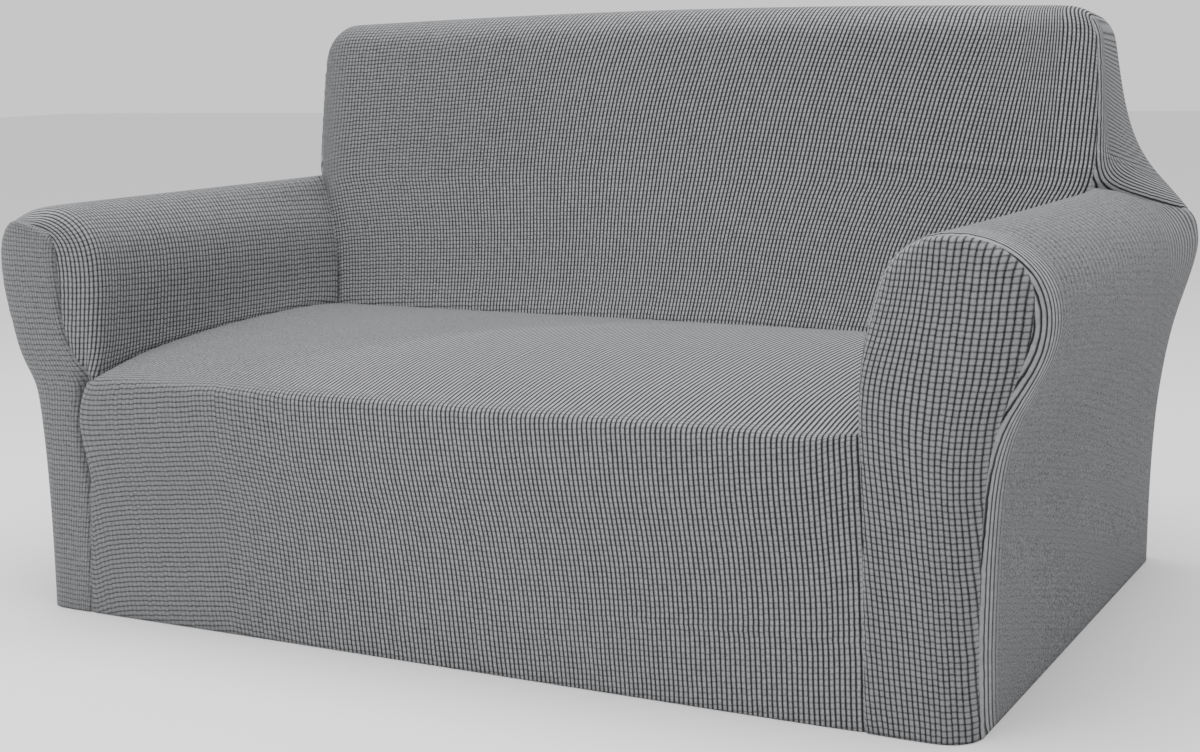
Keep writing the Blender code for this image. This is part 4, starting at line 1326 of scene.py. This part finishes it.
def chance(tree, number, size, dimensions="1D"):
    """White noise around 0 for a whole number, or for a vector of two; size is its range."""
    dice = tree.nodes.new("ShaderNodeTexWhiteNoise")
    dice.noise_dimensions = dimensions
    tree.links.new(number, dice.inputs["W" if dimensions == "1D" else "Vector"])
    return work(tree, "MULTIPLY", work(tree, "SUBTRACT", dice.outputs["Value"], 0.5), size)


def groove(tree, run, pitch, power):
    """1 in the grooves that repeat with the pitch, 0 between them; power may be a socket."""
    wave = work(tree, "COSINE", work(tree, "MULTIPLY", run, 2 * pi / pitch))
    half = work(tree, "MULTIPLY", work(tree, "ADD", wave, 1.0), 0.5)
    return work(tree, "POWER", half, power)


def parts_of(tree, vector):
    """The parts of a vector."""
    node = tree.nodes.new("ShaderNodeSeparateXYZ")
    tree.links.new(vector, node.inputs[0])
    return node.outputs


def strength_of(tree, name):
    """One of the strengths painted on the cloth."""
    node = tree.nodes.new("ShaderNodeAttribute")
    node.attribute_name = name
    return node.outputs["Fac"]


def new_material(name):
    """A material with its node tree and shader."""
    material = bpy.data.materials.new(name)
    material.use_nodes = True
    return material, material.node_tree, material.node_tree.nodes["Principled BSDF"]


def waffle_cloth():
    """Matt grey stretch knit with a small raised check that follows the cloth's UV map; shade is
    painted into its grooves.
    """
    material, tree, shader = new_material("waffle_cloth")
    here = tree.nodes.new("ShaderNodeTexCoord").outputs["Object"]
    chart = tree.nodes.new("ShaderNodeUVMap")
    chart.uv_map = GRAIN
    across, along = parts_of(tree, chart.outputs["UV"])[:2]
    strength = {name: strength_of(tree, name) for name in Weave._fields}

    # Ribs and rows, in cells that are a little uneven.
    stray = noise(tree, here, WANDER_SCALE, WANDER)
    across = work(tree, "ADD", across, stray)
    rib_number = work(tree, "FLOOR", work(tree, "DIVIDE", across, RIB_PITCH))
    row_stray = noise(tree, here, ROW_WANDER_SCALE, WANDER)
    along = work(tree, "ADD", along, row_stray, chance(tree, rib_number, BRICK * ROW_PITCH))
    row_number = work(tree, "FLOOR", work(tree, "DIVIDE", along, ROW_PITCH))
    cell = tree.nodes.new("ShaderNodeCombineXYZ")
    tree.links.new(rib_number, cell.inputs[0])
    tree.links.new(row_number, cell.inputs[1])
    uneven = chance(tree, cell.outputs[0], CELL_UNEVEN, "2D")
    narrower = work(tree, "MULTIPLY", strength["narrow"], RIB_NARROWER)
    rib = groove(tree, across, RIB_PITCH, work(tree, "ADD", narrower, RIB_POWER))
    row = groove(tree, along, ROW_PITCH, ROW_POWER)
    less = work(tree, "MULTIPLY", strength["narrow"], RIB_MEAN_NARROWER)
    ribs = work(tree, "MULTIPLY", work(tree, "SUBTRACT", RIB_MEAN, less, rib), RIB_DEPTH)
    ribs = work(tree, "MULTIPLY", work(tree, "ADD", ribs, uneven), strength["ribs"])
    rows = work(tree, "SUBTRACT", ROW_MEAN, row)
    rows = work(tree, "MULTIPLY", rows, ROW_DEPTH, strength["rows"])
    both = work(tree, "SUBTRACT", work(tree, "MULTIPLY", rib, row), RIB_MEAN * ROW_MEAN)
    both = work(tree, "MULTIPLY", both, CROSSING, strength["ribs"], strength["rows"])

    # Ripples across an arm, yarn and fuzz.
    stray = work(tree, "MULTIPLY", stray, RIPPLE_STRAY)
    back = work(tree, "ADD", parts_of(tree, here)["Y"], stray)
    ripple = work(tree, "SUBTRACT", 0.5, groove(tree, back, RIPPLE_PITCH, 1.0))
    ripple = work(tree, "MULTIPLY", ripple, RIPPLE_DEPTH, strength["ripples"])
    yarn = noise(tree, here, YARN_SCALE, YARN_DEPTH, FINE_DETAIL)
    fuzz = noise(tree, here, FUZZ_SCALE, FUZZ_DEPTH, FINE_DETAIL)
    fuzz = work(tree, "MULTIPLY", fuzz, strength["fuzz"])
    height = work(tree, "ADD", ribs, rows, both, ripple, yarn, fuzz)

    # The height gives both the relief and the tone. The tone paints shade into the grooves and
    # light onto the raised cells, and the slow changes of tone are added to it.
    bare = work(tree, "MULTIPLY", work(tree, "SUBTRACT", 1.0, strength["ribs"]), BARE_SHADE)
    cloud = noise(tree, here, CLOUD_SCALE, CLOUD_DEPTH)
    tone_and_groove_shade = work(tree, "ADD", height, cloud, work(tree, "SUBTRACT", LEVEL, bare))
    mix = tree.nodes.new("ShaderNodeMix")
    mix.data_type = "RGBA"
    mix.inputs["A"].default_value = PAINTED_GROOVE_SHADE
    mix.inputs["B"].default_value = CLOTH_COLOUR
    tree.links.new(tone_and_groove_shade, mix.inputs["Factor"])
    tree.links.new(mix.outputs["Result"], shader.inputs["Base Color"])
    bump = tree.nodes.new("ShaderNodeBump")
    bump.inputs["Distance"].default_value = RELIEF
    tree.links.new(height, bump.inputs["Height"])
    tree.links.new(bump.outputs["Normal"], shader.inputs["Normal"])
    for name, value in FINISH.items():
        shader.inputs[name].default_value = value
    return material


# Stage ---
LENS = 57.33                # mm, on a sensor 36 mm wide
SENSOR = 36.0
CAMERA_PLACE = (1.468, -2.754, 0.893)
CAMERA_AZIMUTH = 28.16      # to the right of the front, degrees
CAMERA_HEIGHT_ANGLE = 9.84  # looking down
CAMERA_ROLL = -1.20
FLOOR_SIZE = 40.0
FLOOR_DROP = 0.001          # the floor lies this far under the hem
FLOOR_COLOUR = (0.82, 0.82, 0.82, 1.0)
FLOOR_ROUGHNESS = 0.9
SKY_COLOUR = (1.0, 1.0, 1.0, 1.0)
SKY_STRENGTH = 1.04

# Soft boxes: place, what it looks at, width, height and power.
SoftBox = namedtuple("SoftBox", "name place aim width height power")
SOFT_BOXES = (
    SoftBox("top", (0.0, -0.2, 3.6), (0.0, 0.0, 0.0), 4.0, 3.0, 195.0),
    SoftBox("front", (-1.8, -4.2, 2.2), (0.0, 0.0, 0.4), 2.5, 2.5, 80.0),
)


def aim(place, target):
    """Turn that makes a lamp at a place look at a target."""
    return (Vector(target) - Vector(place)).to_track_quat("-Z", "Y").to_matrix().to_4x4()


def add_camera():
    """The camera at the photo's view."""
    lens = bpy.data.cameras.new("camera")
    lens.lens = LENS
    lens.sensor_width = SENSOR
    lens.sensor_fit = "HORIZONTAL"
    camera = add_object("camera", lens)
    turn = Matrix.Rotation(radians(CAMERA_AZIMUTH), 4, "Z")
    turn @= Matrix.Rotation(radians(90 - CAMERA_HEIGHT_ANGLE), 4, "X")
    turn @= Matrix.Rotation(radians(CAMERA_ROLL), 4, "Z")
    camera.matrix_world = Matrix.Translation(CAMERA_PLACE) @ turn
    bpy.context.scene.camera = camera


def add_stage():
    """Pale floor, pale surroundings and soft boxes."""
    plane = bmesh.new()
    bmesh.ops.create_grid(plane, x_segments=1, y_segments=1, size=FLOOR_SIZE / 2)
    bmesh.ops.translate(plane, verts=plane.verts, vec=(0.0, 0.0, -FLOOR_DROP))
    mesh = bpy.data.meshes.new("floor")
    plane.to_mesh(mesh)
    plane.free()
    paint, _, shader = new_material("floor")
    shader.inputs["Base Color"].default_value = FLOOR_COLOUR
    shader.inputs["Roughness"].default_value = FLOOR_ROUGHNESS
    mesh.materials.append(paint)
    floor = add_object("floor", mesh)
    world = bpy.data.worlds.new("studio")
    world.use_nodes = True
    sky = world.node_tree.nodes["Background"]
    sky.inputs["Color"].default_value = SKY_COLOUR
    sky.inputs["Strength"].default_value = SKY_STRENGTH
    bpy.context.scene.world = world
    for box in SOFT_BOXES:
        lamp = bpy.data.lights.new(box.name, "AREA")
        lamp.shape = "RECTANGLE"
        lamp.size = box.width
        lamp.size_y = box.height
        lamp.energy = box.power
        light = add_object(box.name, lamp)
        light.matrix_world = Matrix.Translation(box.place) @ aim(box.place, box.aim)


add_camera()
fine_mesh = smooth_net(build_net(), SMOOTH_LEVELS)
shape_cloth(fine_mesh)
cloth = waffle_cloth()
for panel_number in range(len(PANELS)):
    cut_panel(fine_mesh, panel_number, cloth)
add_stage()
